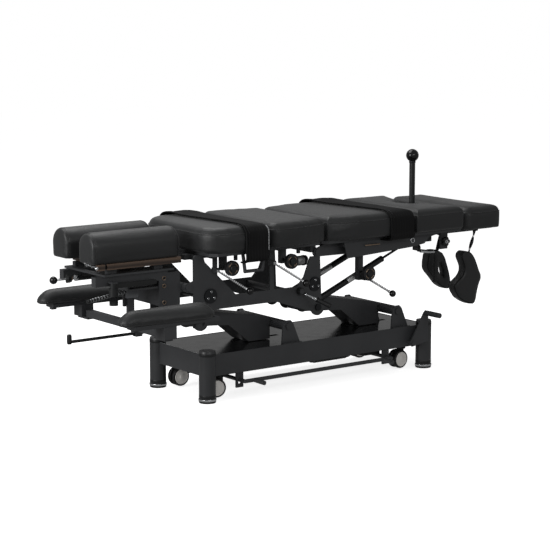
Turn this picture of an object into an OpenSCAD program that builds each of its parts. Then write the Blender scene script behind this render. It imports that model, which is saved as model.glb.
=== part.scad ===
/* [Overall] */
// Distance from the head-end posts to the farthest head-end piece
head_reach = 575; // [560:5:650]
// Distance from the head-end posts to the foot end of the last cushion
foot_reach = 1471; // [1450:1:1540]

/* [Base] */
// Distance between the head-end and foot-end posts
post_pitch = 1110; // [1090:5:1160]
// Distance of each post from the centre plane
post_y = 176; // [172:1:186]
// Diameter of a post
post_d = 66; // [56:1:70]
// Height of the tops of the post tubes
post_top = 197; // [190:1:206]
// Height of the top edge of the base rails
rail_top = 187; // [186:1:190]
// Height of the base rails from edge to edge
rail_h = 86; // [70:1:88]
// Distance of the outer rail faces from the centre plane
rail_y = 185; // [182:1:190]
// Thickness of the sheet steel of the base
base_wall = 4; // [3:0.5:5]

/* [Lift] */
// Station of the head arm's lower pivot
arm_s = 400; // [380:5:410]
// Distance between the two arms
arm_pitch = 571; // [560:1:580]
// Height of the lower pivots
arm_z = 255; // [250:1:262]
// Horizontal distance between the two pivots of an arm
arm_run = 414; // [405:1:420]
// Height of the upper pivots over the lower ones
arm_rise = 59; // [54:1:64]
// Width of the box section of an arm
arm_w = 116; // [90:2:130]

/* [Cushions] */
// Half the width of the body cushions
half_w = 265; // [255:1:275]
// Half the width where the lumbar and pelvic cushions meet
waist_w = 226; // [215:1:240]
// Height of the upper seam of the cushions
seam_z = 667; // [660:1:675]
// Height of the crown over the seam
crown_h = 21; // [12:1:26]
// Height of the undersides of the body cushions
pad_z = 590; // [586:1:594]
// Station of the head end of the chest cushion
chest_s = -40; // [-44:1:-30]
// Station of the joint between the chest and lumbar cushions
lumbar_s = 251; // [245:1:257]
// Station of the joint between the lumbar and pelvic cushions
pelvic_s = 545; // [542:1:548]
// Station of the joint between the pelvic and leg cushions
leg_s = 987; // [975:1:995]
// Station of the joint between the leg and foot cushions
foot_s = 1263; // [1260:1:1270]
// Gap between neighbouring cushions
seam_gap = 2; // [1.5:0.1:3]
// Width of the two body straps
strap_w = 135; // [120:1:140]
// Thickness of the body straps
strap_t = 4; // [3:0.5:5]

/* [Head piece] */
// Length of the two head cushions
bolster_l = 392; // [370:1:396]
// Width of one head cushion
bolster_w = 118; // [105:1:120]
// Height of one head cushion
bolster_h = 118; // [105:1:124]
// Half the gap between the head cushions
face_gap = 38; // [34:1:44]

/* [Arm rests] */
// Distance of the arm rests from the centre plane
rest_y = 300; // [296:1:308]
// Length of an arm rest pad
rest_l = 424; // [380:2:430]
// Width of an arm rest pad
rest_w = 124; // [110:2:128]

/* [Foot end] */
// Height of the top of the ball on the tiller
tiller_top = 910; // [860:5:960]
// Diameter of the tiller tube
tiller_d = 25; // [20:1:30]
// Diameter of the ball on the tiller
ball_d = 54; // [44:1:58]
// Radius of the notch in the leg cushion
notch_r = 62; // [50:1:66]

/* [Hidden] */
$fn = 48;

// Colours
steel_dark = "#333436";
deck_black = "#26272a";
plastic_black = "#161616";
chrome = "#c8c9cb";
vinyl = "#3a3b3c";
webbing = "#1d1d1f";
hub_grey = "#8e8a84";
board_brown = "#3a2f28";

// Clearances and overruns
run = 0.05;                     // round a pin that turns
slip = 0.3;                     // between faces that slide past each other
over = 2;                       // overrun of a cut

// Stations are measured from the head-end posts towards the foot end
x0 = (head_reach - foot_reach) / 2;
near = -1;
far = 1;

// Base
post_r = post_d / 2;
post_wall = 3;
foot_z = 18;
cap_h = 8;
cap_edge = 2;
plug_t = 8;
rail_bottom = rail_top - rail_h;
rail_end = 12;
deck_t = 5;
deck_sink = 1;
deck_z = rail_top - deck_sink;
deck_low = deck_z - deck_t;
ring_lip = 1.5;
ring_r = post_r + ring_lip;
pad_h = 8;
ring_z = 16;
stem_r = 9;
stem_top = 60;
cross_t = 8;
cross_h = 14;
corner_l = 68;
corner_w = 78;
corner_t = 4;

// Ears and shafts of the lift arms
ear_y = 165;
ear_t = 6;
ear_back = 33;
ear_front = 57;
ear_top = 23;
ear_foot_t = 3;
shaft_r = 9;
shaft_head_r = 14;
shaft_head_t = 7;

// Lift arms
arm_plate = 6;
arm_nose = 12;
arm_nose_h = 24;
arm_toe = 117;
arm_toe_gap = 3;
arm_elbow = [215, 12];
arm_back = [271, 72];
boss_r = 34;
tube_r = 20;
arm_tube_y = 84;
arm_side = arm_w / 2;
upper_z = arm_z + arm_rise;
upper_head_s = arm_s - arm_run;
upper_foot_s = upper_head_s + arm_pitch;
foot_arm_s = arm_s + arm_pitch;

// Horn of the foot arm and the drive that pulls it
lift_angle = 40;
horn_a = lift_angle / 2;
horn_r = 120;
horn_t = 16;
horn_root_r = 12;
horn_tip_r = 12;
horn_pin_r = 8;
horn_travel = 2 * horn_r * sin(horn_a);
horn_s = foot_arm_s + horn_r * sin(horn_a);
drive_z = arm_z - horn_r * cos(horn_a);
drive_dip = horn_r * (1 - cos(horn_a));
slot_back = 150;
slot_front = 70;
slot_half = 12;
fork_play = 2.5;
fork_l = 45;
fork_tip = 17;
fork_h = 22;
fork_t = 8;
fork_root = 8;
drive_r = 25;
drive_l = 340;
drive_wall = 7;
drive_cap = 20;
drive_s = horn_s - horn_travel - fork_l - cross_t;
drive_tail = drive_s - drive_l;
rod_r = 11;
rod_gap = 0.06;
rod_in = 230;
motor_in = 30;
motor_s = drive_tail + motor_in;
motor_l = 190;
motor_r = 33;
motor_y = -96;
motor_z = 106;
fin_r = 36;
fin_t = 5;
fin_pitch = 14;
gear_l = 50;
gear_z = 84;
box_s = motor_s + motor_l + gear_l - over;
box_l = 86;
box_y = [-150, -72];
box_z = 80;
hang_t = 6;

// Casters
caster_s = 88;
caster_y = 132;
caster_r = 38.5;
caster_trail = 18;
caster_lift = 4;
caster_drop = 12;
caster_turns = [-16, 0, 4, -6];
wheel_t = 17;
wheel_in = 6;
wheel_round = 3;
axle_r = 5;
swivel_r = 8;
swivel_plate_r = 20;
swivel_plate_t = 4;
swivel_head_r = 12;
yoke_t = 10;
yoke_arm = 13;
axle_z = caster_lift + caster_r;
wheel_top = caster_lift + 2 * caster_r;
swivel_up = 4;
swivel_z = wheel_top + swivel_up;
beam_w = 60;
beam_t = 6;
beam_up = 3;
beam_z = rail_bottom + beam_up;
tie_y = 158;
tie_w = 8;
guide_r = 5;
guide_y = 60;
caster_places = [[caster_s, near], [caster_s, far],
    [post_pitch - caster_s, near], [post_pitch - caster_s, far]];

// Foot bar
bar_r = 8;
bar_y = 206;
bar_z = 68;
bar_s = [158, 906];
bar_drop = 8;
hanger_y = 168;
hanger_t = 8;
hanger_w = 34;
hanger_low = 14;
peg_r = 9;
peg_l = 56;
peg_inset = 46;

// Caster pedal
pedal_in = 92;
pedal_s = post_pitch - pedal_in;
pedal_up = 18;
pedal_z = rail_bottom + pedal_up;
pedal_top = [1085, 242];
pedal_gap = 3;
pedal_y = -post_y - post_r - pedal_gap;
pedal_t = 6;
pedal_pin_r = 6;
pedal_nut_r = 10;
pedal_nut_t = 4;
pedal_reach = 92;
pedal_bar_r = 8;
pedal_grip_r = 11;
pedal_eye_r = 14;
pedal_tip = 11;

// Centre frame
side_y = 150;
side_t = 6;
top_z = 577;
top_h = 20;
top_y = 100;
top_w = 26;
guide_post_r = 8;
guide_post_l = 44;
cross_r = 13;
hub_r = 29;
hub_t = 5;
hub_screw_r = 4.5;
hub_screw_t = 4;
hub_ring = 17;
hub_places = [[30, 414], [540, 411]];
plate_edge = 8;
upright_in = 5;
upright_low = 549;
web_s = [151, 451];
web_z = 408;
cheek_s = [486, 519];
cheek_z = [444, 524];
belly_s = [46, 346];
belly_z = 358;
rail_s = [-60, 548];
cross_s = [-22, 535];
cross_tube_s = [100, 430];
cross_tube_z = 385;
plate_pin_head = 13;
plate_pin_t = 4;
tension_r = 29;
tension_t = 16;
tension_y = -192;
tension_hub_r = 13;
tension_shaft_r = 6;
bearing_w = 24;
bearing_y = [-150, -126];
bearing_drop = 14;
lever_post_w = 20;
lever_r = 3.5;
lever_ball_r = 14;
lever_eye_r = 9;
lever_eye_t = 14;
lever_pin_r = 4;
lever_ear_t = 5;
lever_ear_d = 20;
lever_reach = [89, -94, -78];
chest_lever_at = [54, -168, 514];
lumbar_lever_at = [327, -168, 518];
pelvic_lever_at = [802, -170, 412];
pelvic_reach = [63, -90, -60];
chest_wheel_at = [102, 521];
lumbar_wheel_at = [390, 522];
pelvic_wheel_at = [786, 436];
flex_at = [463, 390];
flex_root = [11, -8];
flex_reach = [74, -88, -50];
flex_boss_r = 15;
flex_boss_t = 15;
flex_rod_r = 5;
flex_grip_r = 9;
flex_pin_r = 7;
loop_s = [134, 236];
loop_in = 37;
loop_y = half_w - loop_in;
loop_r = 7;
loop_z = 508;
loop_splay = 10;
strap_gap = 0.5;
strap_low = 15;
chest_corner = 110;
seam_corner = 12;
lumbar_corner = 45;
foot_corner = 12;
waist_s = [340, 720];
// Draw-in and height of each ring of a body cushion, from the underside to the crown
hem_pull = 7;
hem_h = 5;
belly_pull = 2.5;
crown_pulls = [3, 11, 28, 62, 100];
crown_shares = [0.3, 0.6, 0.85, 0.96, 1];
cushion_steps = concat([[hem_pull, pad_z], [belly_pull / 2, pad_z + hem_h],
    [belly_pull, (pad_z + seam_z) / 2], [0, seam_z]],
    [for (i = [0 : 4]) [crown_pulls[i], seam_z + crown_h * crown_shares[i]]]);

// Caudal section
hinge_in = 5;
hinge_s = pelvic_s + hinge_in;
hinge_z = 540;
hinge_r = 8;
hinge_eye_r = 18;
board_z = top_z + slip;
board_y = 215;
chest_board_in = 25;
chest_board_y = half_w - chest_board_in;
board_cut = 24;
board_gap = 2;
guide_places = [[20, 190], [300, 500], [620, 920]];
lug_y = side_y + side_t + slip;
// Side view of the centre frame's plates
plate_shape = [[upper_head_s - boss_r, upper_z],
    [upper_head_s - boss_r, top_z - plate_edge],
    [upper_head_s - boss_r + plate_edge, top_z],
    [upright_in - plate_edge, top_z], [upright_in, upright_low],
    [web_s[0], web_z], [web_s[1], web_z],
    [cheek_s[0], cheek_z[0]], [cheek_s[1], cheek_z[1]],
    [hinge_s + hinge_eye_r, cheek_z[1]], [hinge_s + hinge_eye_r + plate_edge, upper_z + boss_r],
    [upper_foot_s, upper_z], [upper_foot_s, upper_z - boss_r / 2],
    [upper_foot_s - boss_r + plate_edge, upper_z - boss_r / 2],
    [belly_s[1], belly_z], [belly_s[0], belly_z],
    [upper_head_s + boss_r, upper_z - boss_r / 2], [upper_head_s, upper_z - boss_r / 2]];
lug_t = 6;
caudal_s = 600;
caudal_end = 1250;
caudal_cross_s = [668, 990];
lug_end = 700;
lug_low = 520;
skirt_y = 200;
skirt_t = 4;
skirt_shape = [[654, 575], [672, 508], [1014, 526], [1085, 535], [1110, 560], [1190, 575]];
strut_s = 1080;
strut_z = 529;
strut_y = 100;
strut_eye_t = 16;
strut_eye_r = 15;
strut_tip_r = 10;
strut_body_r = 13;
strut_body_l = 414;
strut_rod_r = 5;
strut_rod_in = 88;
strut_bore_r = 9;
strut_gland = 12;
strut_pin_r = 4;
strut_play = 2.2;
strut_lug_t = 7;
strut_run = strut_s - upper_foot_s;
strut_rise = strut_z - upper_z;
strut_l = norm([strut_run, strut_rise]);
strut_a = atan2(strut_rise, strut_run);
leg_board_y = 235;
strut_lug_w = 24;
strut_cavity = 170;

// Foot slide, tiller, handle and cuffs
slide_y = 140;
slide_w = 20;
slide_in = 250;
slide_s = foot_s - slide_in;
slide_end = 1420;
foot_board_end = 1444;
slide_low = top_z - slide_w - slip;
foot_pad_z = top_z + over;
foot_board_y = 226;
sleeve_w = 7;
sleeve_l = 22;
tiller_in = 74;
tiller_s = foot_s - tiller_in;
tiller_z = 556;
tiller_ear_t = 6;
tiller_cross_z = [524, 540];
tiller_cross_w = 30;
tiller_pin_r = 6;
tiller_eye_r = 12;
handle_y = -120;
handle_z = 505;
handle_s = 1112;
handle_bend = [1222, 476];
handle_low = 352;
handle_r = 6;
handle_grip_r = 10;
handle_eye = 12;
handle_lug_half = 8;
handle_lug_y = [handle_y - handle_lug_half, -top_y];
clamp_at = [1228, 528];
clamp_y = -166;
clamp_t = 8;
clamp_w = 40;
clamp_low = 495;
clamp_r = 12;
clamp_lobe_r = 8;
clamp_lobes = 5;
clamp_shaft_r = 5;
cuff_s = 1436;
cuff_bar_r = 4;
cuff_bar_z = 558;
cuff_eye_r = 8;
cuff_ys = [-128, 70];
cuff_w = 46;
strap_end_w = 20;
cuff_strap_t = 3;
cuff_l = 245;
cuff_strap_share = 0.66;
// Outlines of the cuffs from the bar that they hang on, as shares of their length
near_cuff_shares = [[-0.38, -0.42], [-0.3, -0.34], [-0.16, -0.36], [-0.06, -0.46], [0, -0.56],
    [0.13, -0.85], [0.08, -0.96], [-0.02, -1.31], [-0.11, -1.33], [-0.37, -1.23],
    [-0.5, -1.08], [-0.54, -0.96], [-0.49, -0.9], [-0.31, -0.76], [-0.29, -0.64]];
far_cuff_shares = [[-0.42, -0.5], [-0.34, -0.42], [-0.21, -0.43], [-0.05, -0.52],
    [0.08, -0.85], [0.13, -1.09], [0.12, -1.15], [0.03, -1.18], [-0.15, -1.09],
    [-0.31, -0.93], [-0.43, -0.79], [-0.45, -0.71]];
far_hole_shares = [[-0.11, -0.64], [-0.02, -0.85], [-0.03, -0.97], [-0.11, -0.93],
    [-0.17, -0.81], [-0.17, -0.66]];

// Head piece
head_hinge = [-72, 455];
head_hub_r = 17;
head_plate_y = 127;
head_plate_t = 6;
head_tube_z = [493, 530];
head_tube_w = 30;
head_tube_y = head_plate_y + head_plate_t - head_tube_w / 2;
head_tube_s = [-470, -150];
head_plate_s = [-190, -95];
head_plate_z = [385, 520];
head_floor_s = [-320, -176];
head_floor_t = 8;
head_floor_z = 462;
head_back_s = [-186, -176];
head_bar_s = [-350, -334];
bolster_s = -102;
bolster_z = 579;
bolster_pull = 4;
end_block_s = [-470, -440];
head_board_s = -400;
head_board_t = 22;
head_board_in = 2;
board_strip_s = -430;
board_strip_w = 16;
board_rod_r = 4;
tray_t = 8;
tray_y = [60, 148];
tray_s = [-440, -132];
tray_bar = 20;
tray_post_r = 7;
tray_post_s = [-395, -190];
tray_post_l = 30;
spacer_w = 40;
head_lever_at = [-405, -152];
head_lever_l = 190;
head_lever_h = 18;
head_lever_t = 12;
head_cup_r = 17;
head_cup_h = 30;
head_stud_r = 6;
head_lever_z = 486;
head_tab_z = head_lever_z + head_lever_h + slip;
head_tab_w = 24;
head_tab_t = 6;
pull_y = 40;
pull_z = 506;
pull_r = 4;
pull_ball_r = 15;
pull_s = [-550, -300];
pull_sleeve_r = 11;
pull_sleeve_s = [-450, -366];
pull_star_s = [-492, -478];
pull_star_r = 10;
pull_lobe_r = 7;

// Arm rests
rest_s = -268;
rest_z = 368;
rest_h = 58;
strip_t = 16;
strip_w = 56;
strip_s = [-422, -45];
rest_block_w = 54;
rest_block_d = 60;
rest_pin_r = 8;
rest_pin_top = rest_z - strip_t - over;
carrier_w = 28;
carrier_z = [304, 332];
rest_tab_t = 8;
rest_tab_w = 34;
rest_gap = 42;
rest_bar_y = -50;
rest_bar_t = 14;
rest_bar_top = 505;
rest_clamp_h = 37;
rest_clamp_drop = 68;
rest_clamp_low = head_tube_z[0] - rest_clamp_drop;
rest_clamp_z = [rest_clamp_low, rest_clamp_low + rest_clamp_h];
rest_clamp_wall = 11;
tilt_y = -100;
tilt_z = 294;
tilt_r = 6;
tilt_grip_r = 8;
tilt_grip_rise = 28;
tilt_s = -232;
tilt_block = 24;
stub_s = -407;
stub_w = 20;
stub_h = 9;
rest_knob_s = -128;
rest_knob_r = 18;
rest_knob_h = 24;
rest_tip_share = 0.74;
// Draw-in and height of each ring of an arm rest pad, the heights as shares of its own
rest_pulls = [10, 2, 0, 1, 8, 22, 40];
rest_shares = [0, 0.1, 0.3, 0.6, 0.82, 0.95, 1];
rest_steps = [for (i = [0 : 6]) [rest_pulls[i], rest_z + rest_h * rest_shares[i]]];

module slab(s, y, z) {
    translate([x0 + s[0], y[0], z[0]]) cube([s[1] - s[0], y[1] - y[0], z[1] - z[0]]);
}

module rod_y(s, z, r, y) {
    translate([x0 + s, y[0], z]) rotate([-90, 0, 0]) cylinder(r = r, h = y[1] - y[0]);
}

module rod_x(y, z, r, s) {
    translate([x0 + s[0], y, z]) rotate([0, 90, 0]) cylinder(r = r, h = s[1] - s[0]);
}

module rod_z(s, y, r, z) {
    translate([x0 + s, y, z[0]]) cylinder(r = r, h = z[1] - z[0]);
}

// Round bar between two points, each a station, a side distance and a height
module link(p, q, r) {
    d = q - p;
    l = norm(d);
    translate([x0 + p[0], p[1], p[2]])
        rotate([0, acos(d[2] / l), atan2(d[1], d[0])]) cylinder(r = r, h = l);
}

module ball(p, r) {
    translate([x0 + p[0], p[1], p[2]]) sphere(r = r);
}

// Sheet with a side-view outline of stations and heights
module side_sheet(points, y) {
    translate([x0, y[1], 0]) rotate([90, 0, 0]) linear_extrude(y[1] - y[0]) polygon(points);
}

module both() {
    children();
    mirror([0, 1, 0]) children();
}

// Base

module post_places() {
    for (s = [0, post_pitch], y = [near, far] * post_y) translate([x0 + s, y, 0]) children();
}

module base_frame() color(steel_dark) {
    stations = [caster_s, post_pitch - caster_s, drive_tail - cross_t / 2];
    difference() {
        union() {
            difference() {
                slab([-rail_end, post_pitch + rail_end], [-rail_y, rail_y],
                    [rail_bottom, rail_top]);
                slab([base_wall - rail_end, post_pitch + rail_end - base_wall],
                    [base_wall - rail_y, rail_y - base_wall],
                    [rail_bottom - over, rail_top + over]);
            }
            for (s = [-rail_end, post_pitch + rail_end - corner_l]) both()
                slab([s, s + corner_l], [rail_y - corner_w, rail_y],
                    [deck_low - corner_t, deck_low]);
            for (s = stations)
                slab([s - cross_t / 2, s + cross_t / 2], [-rail_y, rail_y],
                    [deck_low - cross_h, deck_low]);
            slab([drive_tail - cross_t, drive_tail], [-drive_r, drive_r],
                [drive_z - drive_r, deck_low]);
            for (s = [caster_s, post_pitch - caster_s]) both()
                rod_z(s, guide_y, guide_r, [beam_z - caster_drop - beam_t, deck_low]);
            for (s = [arm_s, foot_arm_s]) both() ear(s);
            for (s = bar_s) both() bar_hanger(s);
            rod_y(pedal_s, pedal_z, pedal_pin_r, [pedal_y - pedal_t - slip - over, -rail_y]);
            rod_y(pedal_s, pedal_z, pedal_nut_r,
                [pedal_y - pedal_t - slip - pedal_nut_t, pedal_y - pedal_t - slip]);
        }
        post_places() cylinder(r = post_r + slip, h = post_top);
        for (s = [arm_s, foot_arm_s]) rod_y(s, arm_z, shaft_r + run, [-rail_y, rail_y]);
    }
}

module ear(s) {
    side_sheet([[s - ear_back, deck_z + slip], [s + ear_front, deck_z + slip],
        [s + ear_top, arm_z + ear_top / 2], [s + ear_top / 2, arm_z + ear_top],
        [s - ear_top / 2, arm_z + ear_top], [s - ear_back + ear_t, arm_z]],
        [ear_y - ear_t / 2, ear_y + ear_t / 2]);
    slab([s - ear_back, s + ear_front], [ear_y - ear_t / 2, rail_y - base_wall / 2],
        [deck_z + slip, deck_z + slip + ear_foot_t]);
}

module bar_hanger(s) {
    low = bar_z - bar_drop;
    difference() {
        slab([s - hanger_w / 2, s + hanger_w / 2], [hanger_y - hanger_t / 2, rail_y],
            [low - bar_r - hanger_low, rail_bottom + base_wall]);
        slab([s - hanger_w, s + hanger_w], [hanger_y + hanger_t / 2, rail_y + over],
            [low - bar_r - hanger_low - over, rail_bottom]);
        for (z = [low, bar_z]) rod_y(s, z, bar_r + slip, [0, rail_y]);
        slab([s - bar_r - slip, s + bar_r + slip], [0, rail_y], [low, bar_z]);
    }
}

module base_deck() color(deck_black) difference() {
    slab([base_wall + slip - rail_end, post_pitch + rail_end - base_wall - slip],
        [base_wall + slip - rail_y, rail_y - base_wall - slip], [deck_low, deck_z]);
    post_places() cylinder(r = post_r + slip, h = post_top);
    for (s = [arm_s, foot_arm_s])
        slab([s - slot_back, s + slot_front], [-slot_half, slot_half],
            [deck_low - over, deck_z + over]);
}

module leg_posts() color(steel_dark) post_places() difference() {
    union() {
        translate([0, 0, foot_z]) cylinder(r = post_r, h = post_top - foot_z);
        translate([0, 0, post_top]) cylinder(r1 = post_r, r2 = post_r - cap_edge, h = cap_h);
    }
    translate([0, 0, foot_z + plug_t])
        cylinder(r = post_r - post_wall, h = post_top - foot_z - 2 * plug_t);
    translate([0, 0, foot_z - over]) cylinder(r = stem_r + run, h = plug_t + 2 * over);
}

module levelling_feet() color(plastic_black) post_places() {
    cylinder(r1 = ring_r - cap_edge, r2 = ring_r, h = pad_h);
    translate([0, 0, pad_h]) cylinder(r = ring_r, h = ring_z - pad_h);
    cylinder(r = stem_r, h = stem_top);
}

module lower_pivot_shafts() color(plastic_black) for (s = [arm_s, foot_arm_s]) {
    end = ear_y + ear_t / 2 + slip;
    rod_y(s, arm_z, shaft_r, [-end, end]);
    for (y = [-end - shaft_head_t, end]) rod_y(s, arm_z, shaft_head_r, [y, y + shaft_head_t]);
}

// Drive of the lift

module lift_drive() color(plastic_black) {
    difference() {
        rod_x(0, drive_z, drive_r, [drive_tail, drive_s]);
        rod_x(0, drive_z, drive_r - drive_wall, [drive_tail + drive_cap, drive_s - drive_cap]);
        rod_x(0, drive_z, rod_r + rod_gap, [drive_s - drive_cap - over, drive_s + over]);
    }
    rod_x(motor_y, motor_z, motor_r, [motor_s, motor_s + motor_l]);
    for (s = [motor_s + fin_pitch : fin_pitch : motor_s + motor_l - fin_pitch])
        rod_x(motor_y, motor_z, fin_r, [s, s + fin_t]);
    slab([motor_s + motor_l, motor_s + motor_l + gear_l], [motor_y - motor_r, -drive_r / 2],
        [gear_z, drive_z + drive_r / 2]);
    for (s = [motor_s + fin_pitch, motor_s + motor_l - fin_pitch])
        slab([s - hang_t, s], [motor_y - motor_r / 2, motor_y + motor_r / 2],
            [motor_z, deck_low]);
    slab([box_s, box_s + box_l], box_y, [box_z, deck_low]);
}

module lift_rod() color(chrome) {
    rod_x(0, drive_z, rod_r, [drive_s - rod_in, horn_s - fork_l + fork_root / 2]);
    y1 = horn_t / 2 + slip;
    slab([horn_s - fork_l, horn_s - fork_l + fork_root], [-y1 - fork_t, y1 + fork_t],
        [drive_z - fork_h, drive_z + fork_h]);
    both() difference() {
        slab([horn_s - fork_l, horn_s + fork_tip], [y1, y1 + fork_t],
            [drive_z - fork_h, drive_z + fork_h]);
        for (z = [drive_z, drive_z - drive_dip])
            rod_y(horn_s, z, horn_pin_r + fork_play, [0, y1 + 2 * fork_t]);
        slab([horn_s - horn_pin_r - fork_play, horn_s + horn_pin_r + fork_play],
            [0, y1 + 2 * fork_t], [drive_z - drive_dip, drive_z]);
    }
}

// Unit vector to the right of the way from a to b
function right_of(a, b) = [b[1] - a[1], a[0] - b[0]] / norm(b - a);

// Outline drawn in by t, its points going clockwise
function drawn_in(points, t) = [for (i = [0 : len(points) - 1])
    let (n = len(points), a = right_of(points[(i + n - 1) % n], points[i]),
        b = right_of(points[i], points[(i + 1) % n]))
    points[i] + t * (a + b) / (1 + a * b)];

module lift_arm(s) {
    eye = [s - arm_run, upper_z];
    outline = [[s - arm_nose, arm_z + arm_nose_h], [s - arm_nose, deck_z + arm_toe_gap],
        [s - arm_toe, deck_z + arm_toe_gap], [s - arm_elbow[0], arm_z + arm_elbow[1]],
        eye + [over, over - boss_r], eye + [over, boss_r - over],
        [s - arm_back[0], arm_z + arm_back[1]]];
    inner = arm_side - arm_plate;
    difference() {
        union() {
            difference() {
                union() {
                    side_sheet(outline, [-arm_side, arm_side]);
                    both() rod_y(eye[0], eye[1], boss_r, [inner, arm_side]);
                }
                side_sheet(drawn_in(outline, arm_plate), [-inner, inner]);
            }
            rod_y(s, arm_z, tube_r, [-(ear_y - ear_t / 2 - slip), ear_y - ear_t / 2 - slip]);
            rod_y(eye[0], eye[1], tube_r, [-arm_tube_y, arm_tube_y]);
        }
        rod_y(s, arm_z, shaft_r + run, [-ear_y, ear_y]);
        rod_y(eye[0], eye[1], shaft_r + run, [-ear_y, ear_y]);
    }
}

module head_lift_arm() color(steel_dark) lift_arm(arm_s);

module foot_lift_arm() color(steel_dark) {
    lift_arm(foot_arm_s);
    root = [foot_arm_s, arm_z];
    tip = [horn_s, drive_z];
    side = [cos(horn_a), sin(horn_a)];
    difference() {
        side_sheet([root - horn_root_r * side, tip - horn_tip_r * side,
            tip + horn_tip_r * side, root + horn_root_r * side], [-horn_t / 2, horn_t / 2]);
        rod_y(foot_arm_s, arm_z, shaft_r + run, [-horn_t, horn_t]);
    }
    rod_y(horn_s, drive_z, horn_tip_r, [-horn_t / 2, horn_t / 2]);
    rod_y(horn_s, drive_z, horn_pin_r, [-horn_t / 2 - fork_t, horn_t / 2 + fork_t]);
}

// Casters and their carriage

module caster_carriage() color(steel_dark) difference() {
    union() {
        for (s = [caster_s, post_pitch - caster_s])
            slab([s - beam_w / 2, s + beam_w / 2], [-tie_y - tie_w / 2, tie_y + tie_w / 2],
                [beam_z, beam_z + beam_t]);
        both() slab([caster_s, post_pitch - caster_s], [tie_y - tie_w / 2, tie_y + tie_w / 2],
            [beam_z, beam_z + beam_t]);
    }
    for (s = [caster_s, post_pitch - caster_s]) both() {
        rod_z(s, guide_y, guide_r + run, [beam_z - over, beam_z + beam_t + over]);
        rod_z(s, caster_y, swivel_r + run, [beam_z - over, beam_z + beam_t + over]);
    }
}

// Each caster is drawn at its swivel, trailing towards the head end
module caster_at(i) {
    p = caster_places[i];
    translate([x0 + p[0], p[1] * caster_y, 0]) rotate([0, 0, caster_turns[i]]) children();
}

module yoke(i) color(plastic_black) caster_at(i) difference() {
    union() {
        translate([0, 0, swivel_z]) cylinder(r = swivel_plate_r, h = swivel_plate_t);
        cylinder_z(swivel_r, [swivel_z, beam_z + beam_t + slip]);
        cylinder_z(swivel_plate_r / 2 + over, [swivel_z, beam_z - slip]);
        cylinder_z(swivel_head_r, [beam_z + beam_t + slip, beam_z + 2 * beam_t]);
        translate([-caster_trail - yoke_arm, -yoke_t / 2, axle_z - yoke_arm])
            cube([caster_trail + 2 * yoke_arm, yoke_t, swivel_z - axle_z + yoke_arm]);
    }
    translate([-caster_trail, -yoke_t, axle_z]) rotate([-90, 0, 0])
        cylinder(r = axle_r + run, h = 2 * yoke_t);
}

module cylinder_z(r, z) {
    translate([0, 0, z[0]]) cylinder(r = r, h = z[1] - z[0]);
}

module wheels(i) color(plastic_black) caster_at(i) translate([-caster_trail, 0, axle_z])
    rotate([-90, 0, 0]) {
        for (k = [near, far]) translate([0, 0, k * (wheel_in + wheel_t / 2)]) rotate_extrude()
            polygon([[0, -wheel_t / 2], [caster_r - wheel_round, -wheel_t / 2],
                [caster_r, wheel_round - wheel_t / 2], [caster_r, wheel_t / 2 - wheel_round],
                [caster_r - wheel_round, wheel_t / 2], [0, wheel_t / 2]]);
        cylinder(r = axle_r, h = 2 * wheel_in + wheel_t, center = true);
    }

module caster_yoke_1() yoke(0);
module caster_yoke_2() yoke(1);
module caster_yoke_3() yoke(2);
module caster_yoke_4() yoke(3);
module caster_wheels_1() wheels(0);
module caster_wheels_2() wheels(1);
module caster_wheels_3() wheels(2);
module caster_wheels_4() wheels(3);

// Foot controls

module foot_bar() color(steel_dark) {
    both() {
        rod_x(bar_y, bar_z, bar_r, bar_s);
        for (s = [bar_s[0] + peg_inset, bar_s[1] - peg_inset])
            link([s, bar_y, bar_z], [s + peg_r, bar_y + peg_l, bar_z - peg_r / 2], peg_r);
    }
    for (s = bar_s) rod_y(s, bar_z, bar_r, [-bar_y, bar_y]);
    both() for (s = bar_s) ball([s, bar_y, bar_z], bar_r);
}

module caster_pedal() color(steel_dark) difference() {
    union() {
        side_sheet([[pedal_s - pedal_eye_r, pedal_z + pedal_eye_r / 2],
            [pedal_s - pedal_eye_r / 2, pedal_z - pedal_eye_r],
            [pedal_top[0] + pedal_eye_r, pedal_z],
            [pedal_top[0] + pedal_eye_r, pedal_top[1]],
            [pedal_top[0], pedal_top[1] + pedal_tip],
            [pedal_top[0] - pedal_tip, pedal_top[1]]],
            [pedal_y - pedal_t, pedal_y]);
        rod_y(pedal_top[0], pedal_top[1], pedal_bar_r, [pedal_y - pedal_reach, pedal_y]);
        rod_y(pedal_top[0], pedal_top[1], pedal_grip_r,
            [pedal_y - pedal_reach - over, pedal_y - 2 * pedal_t]);
    }
    rod_y(pedal_s, pedal_z, pedal_pin_r + run, [pedal_y - 2 * pedal_t, pedal_y + over]);
}

// Centre frame

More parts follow.
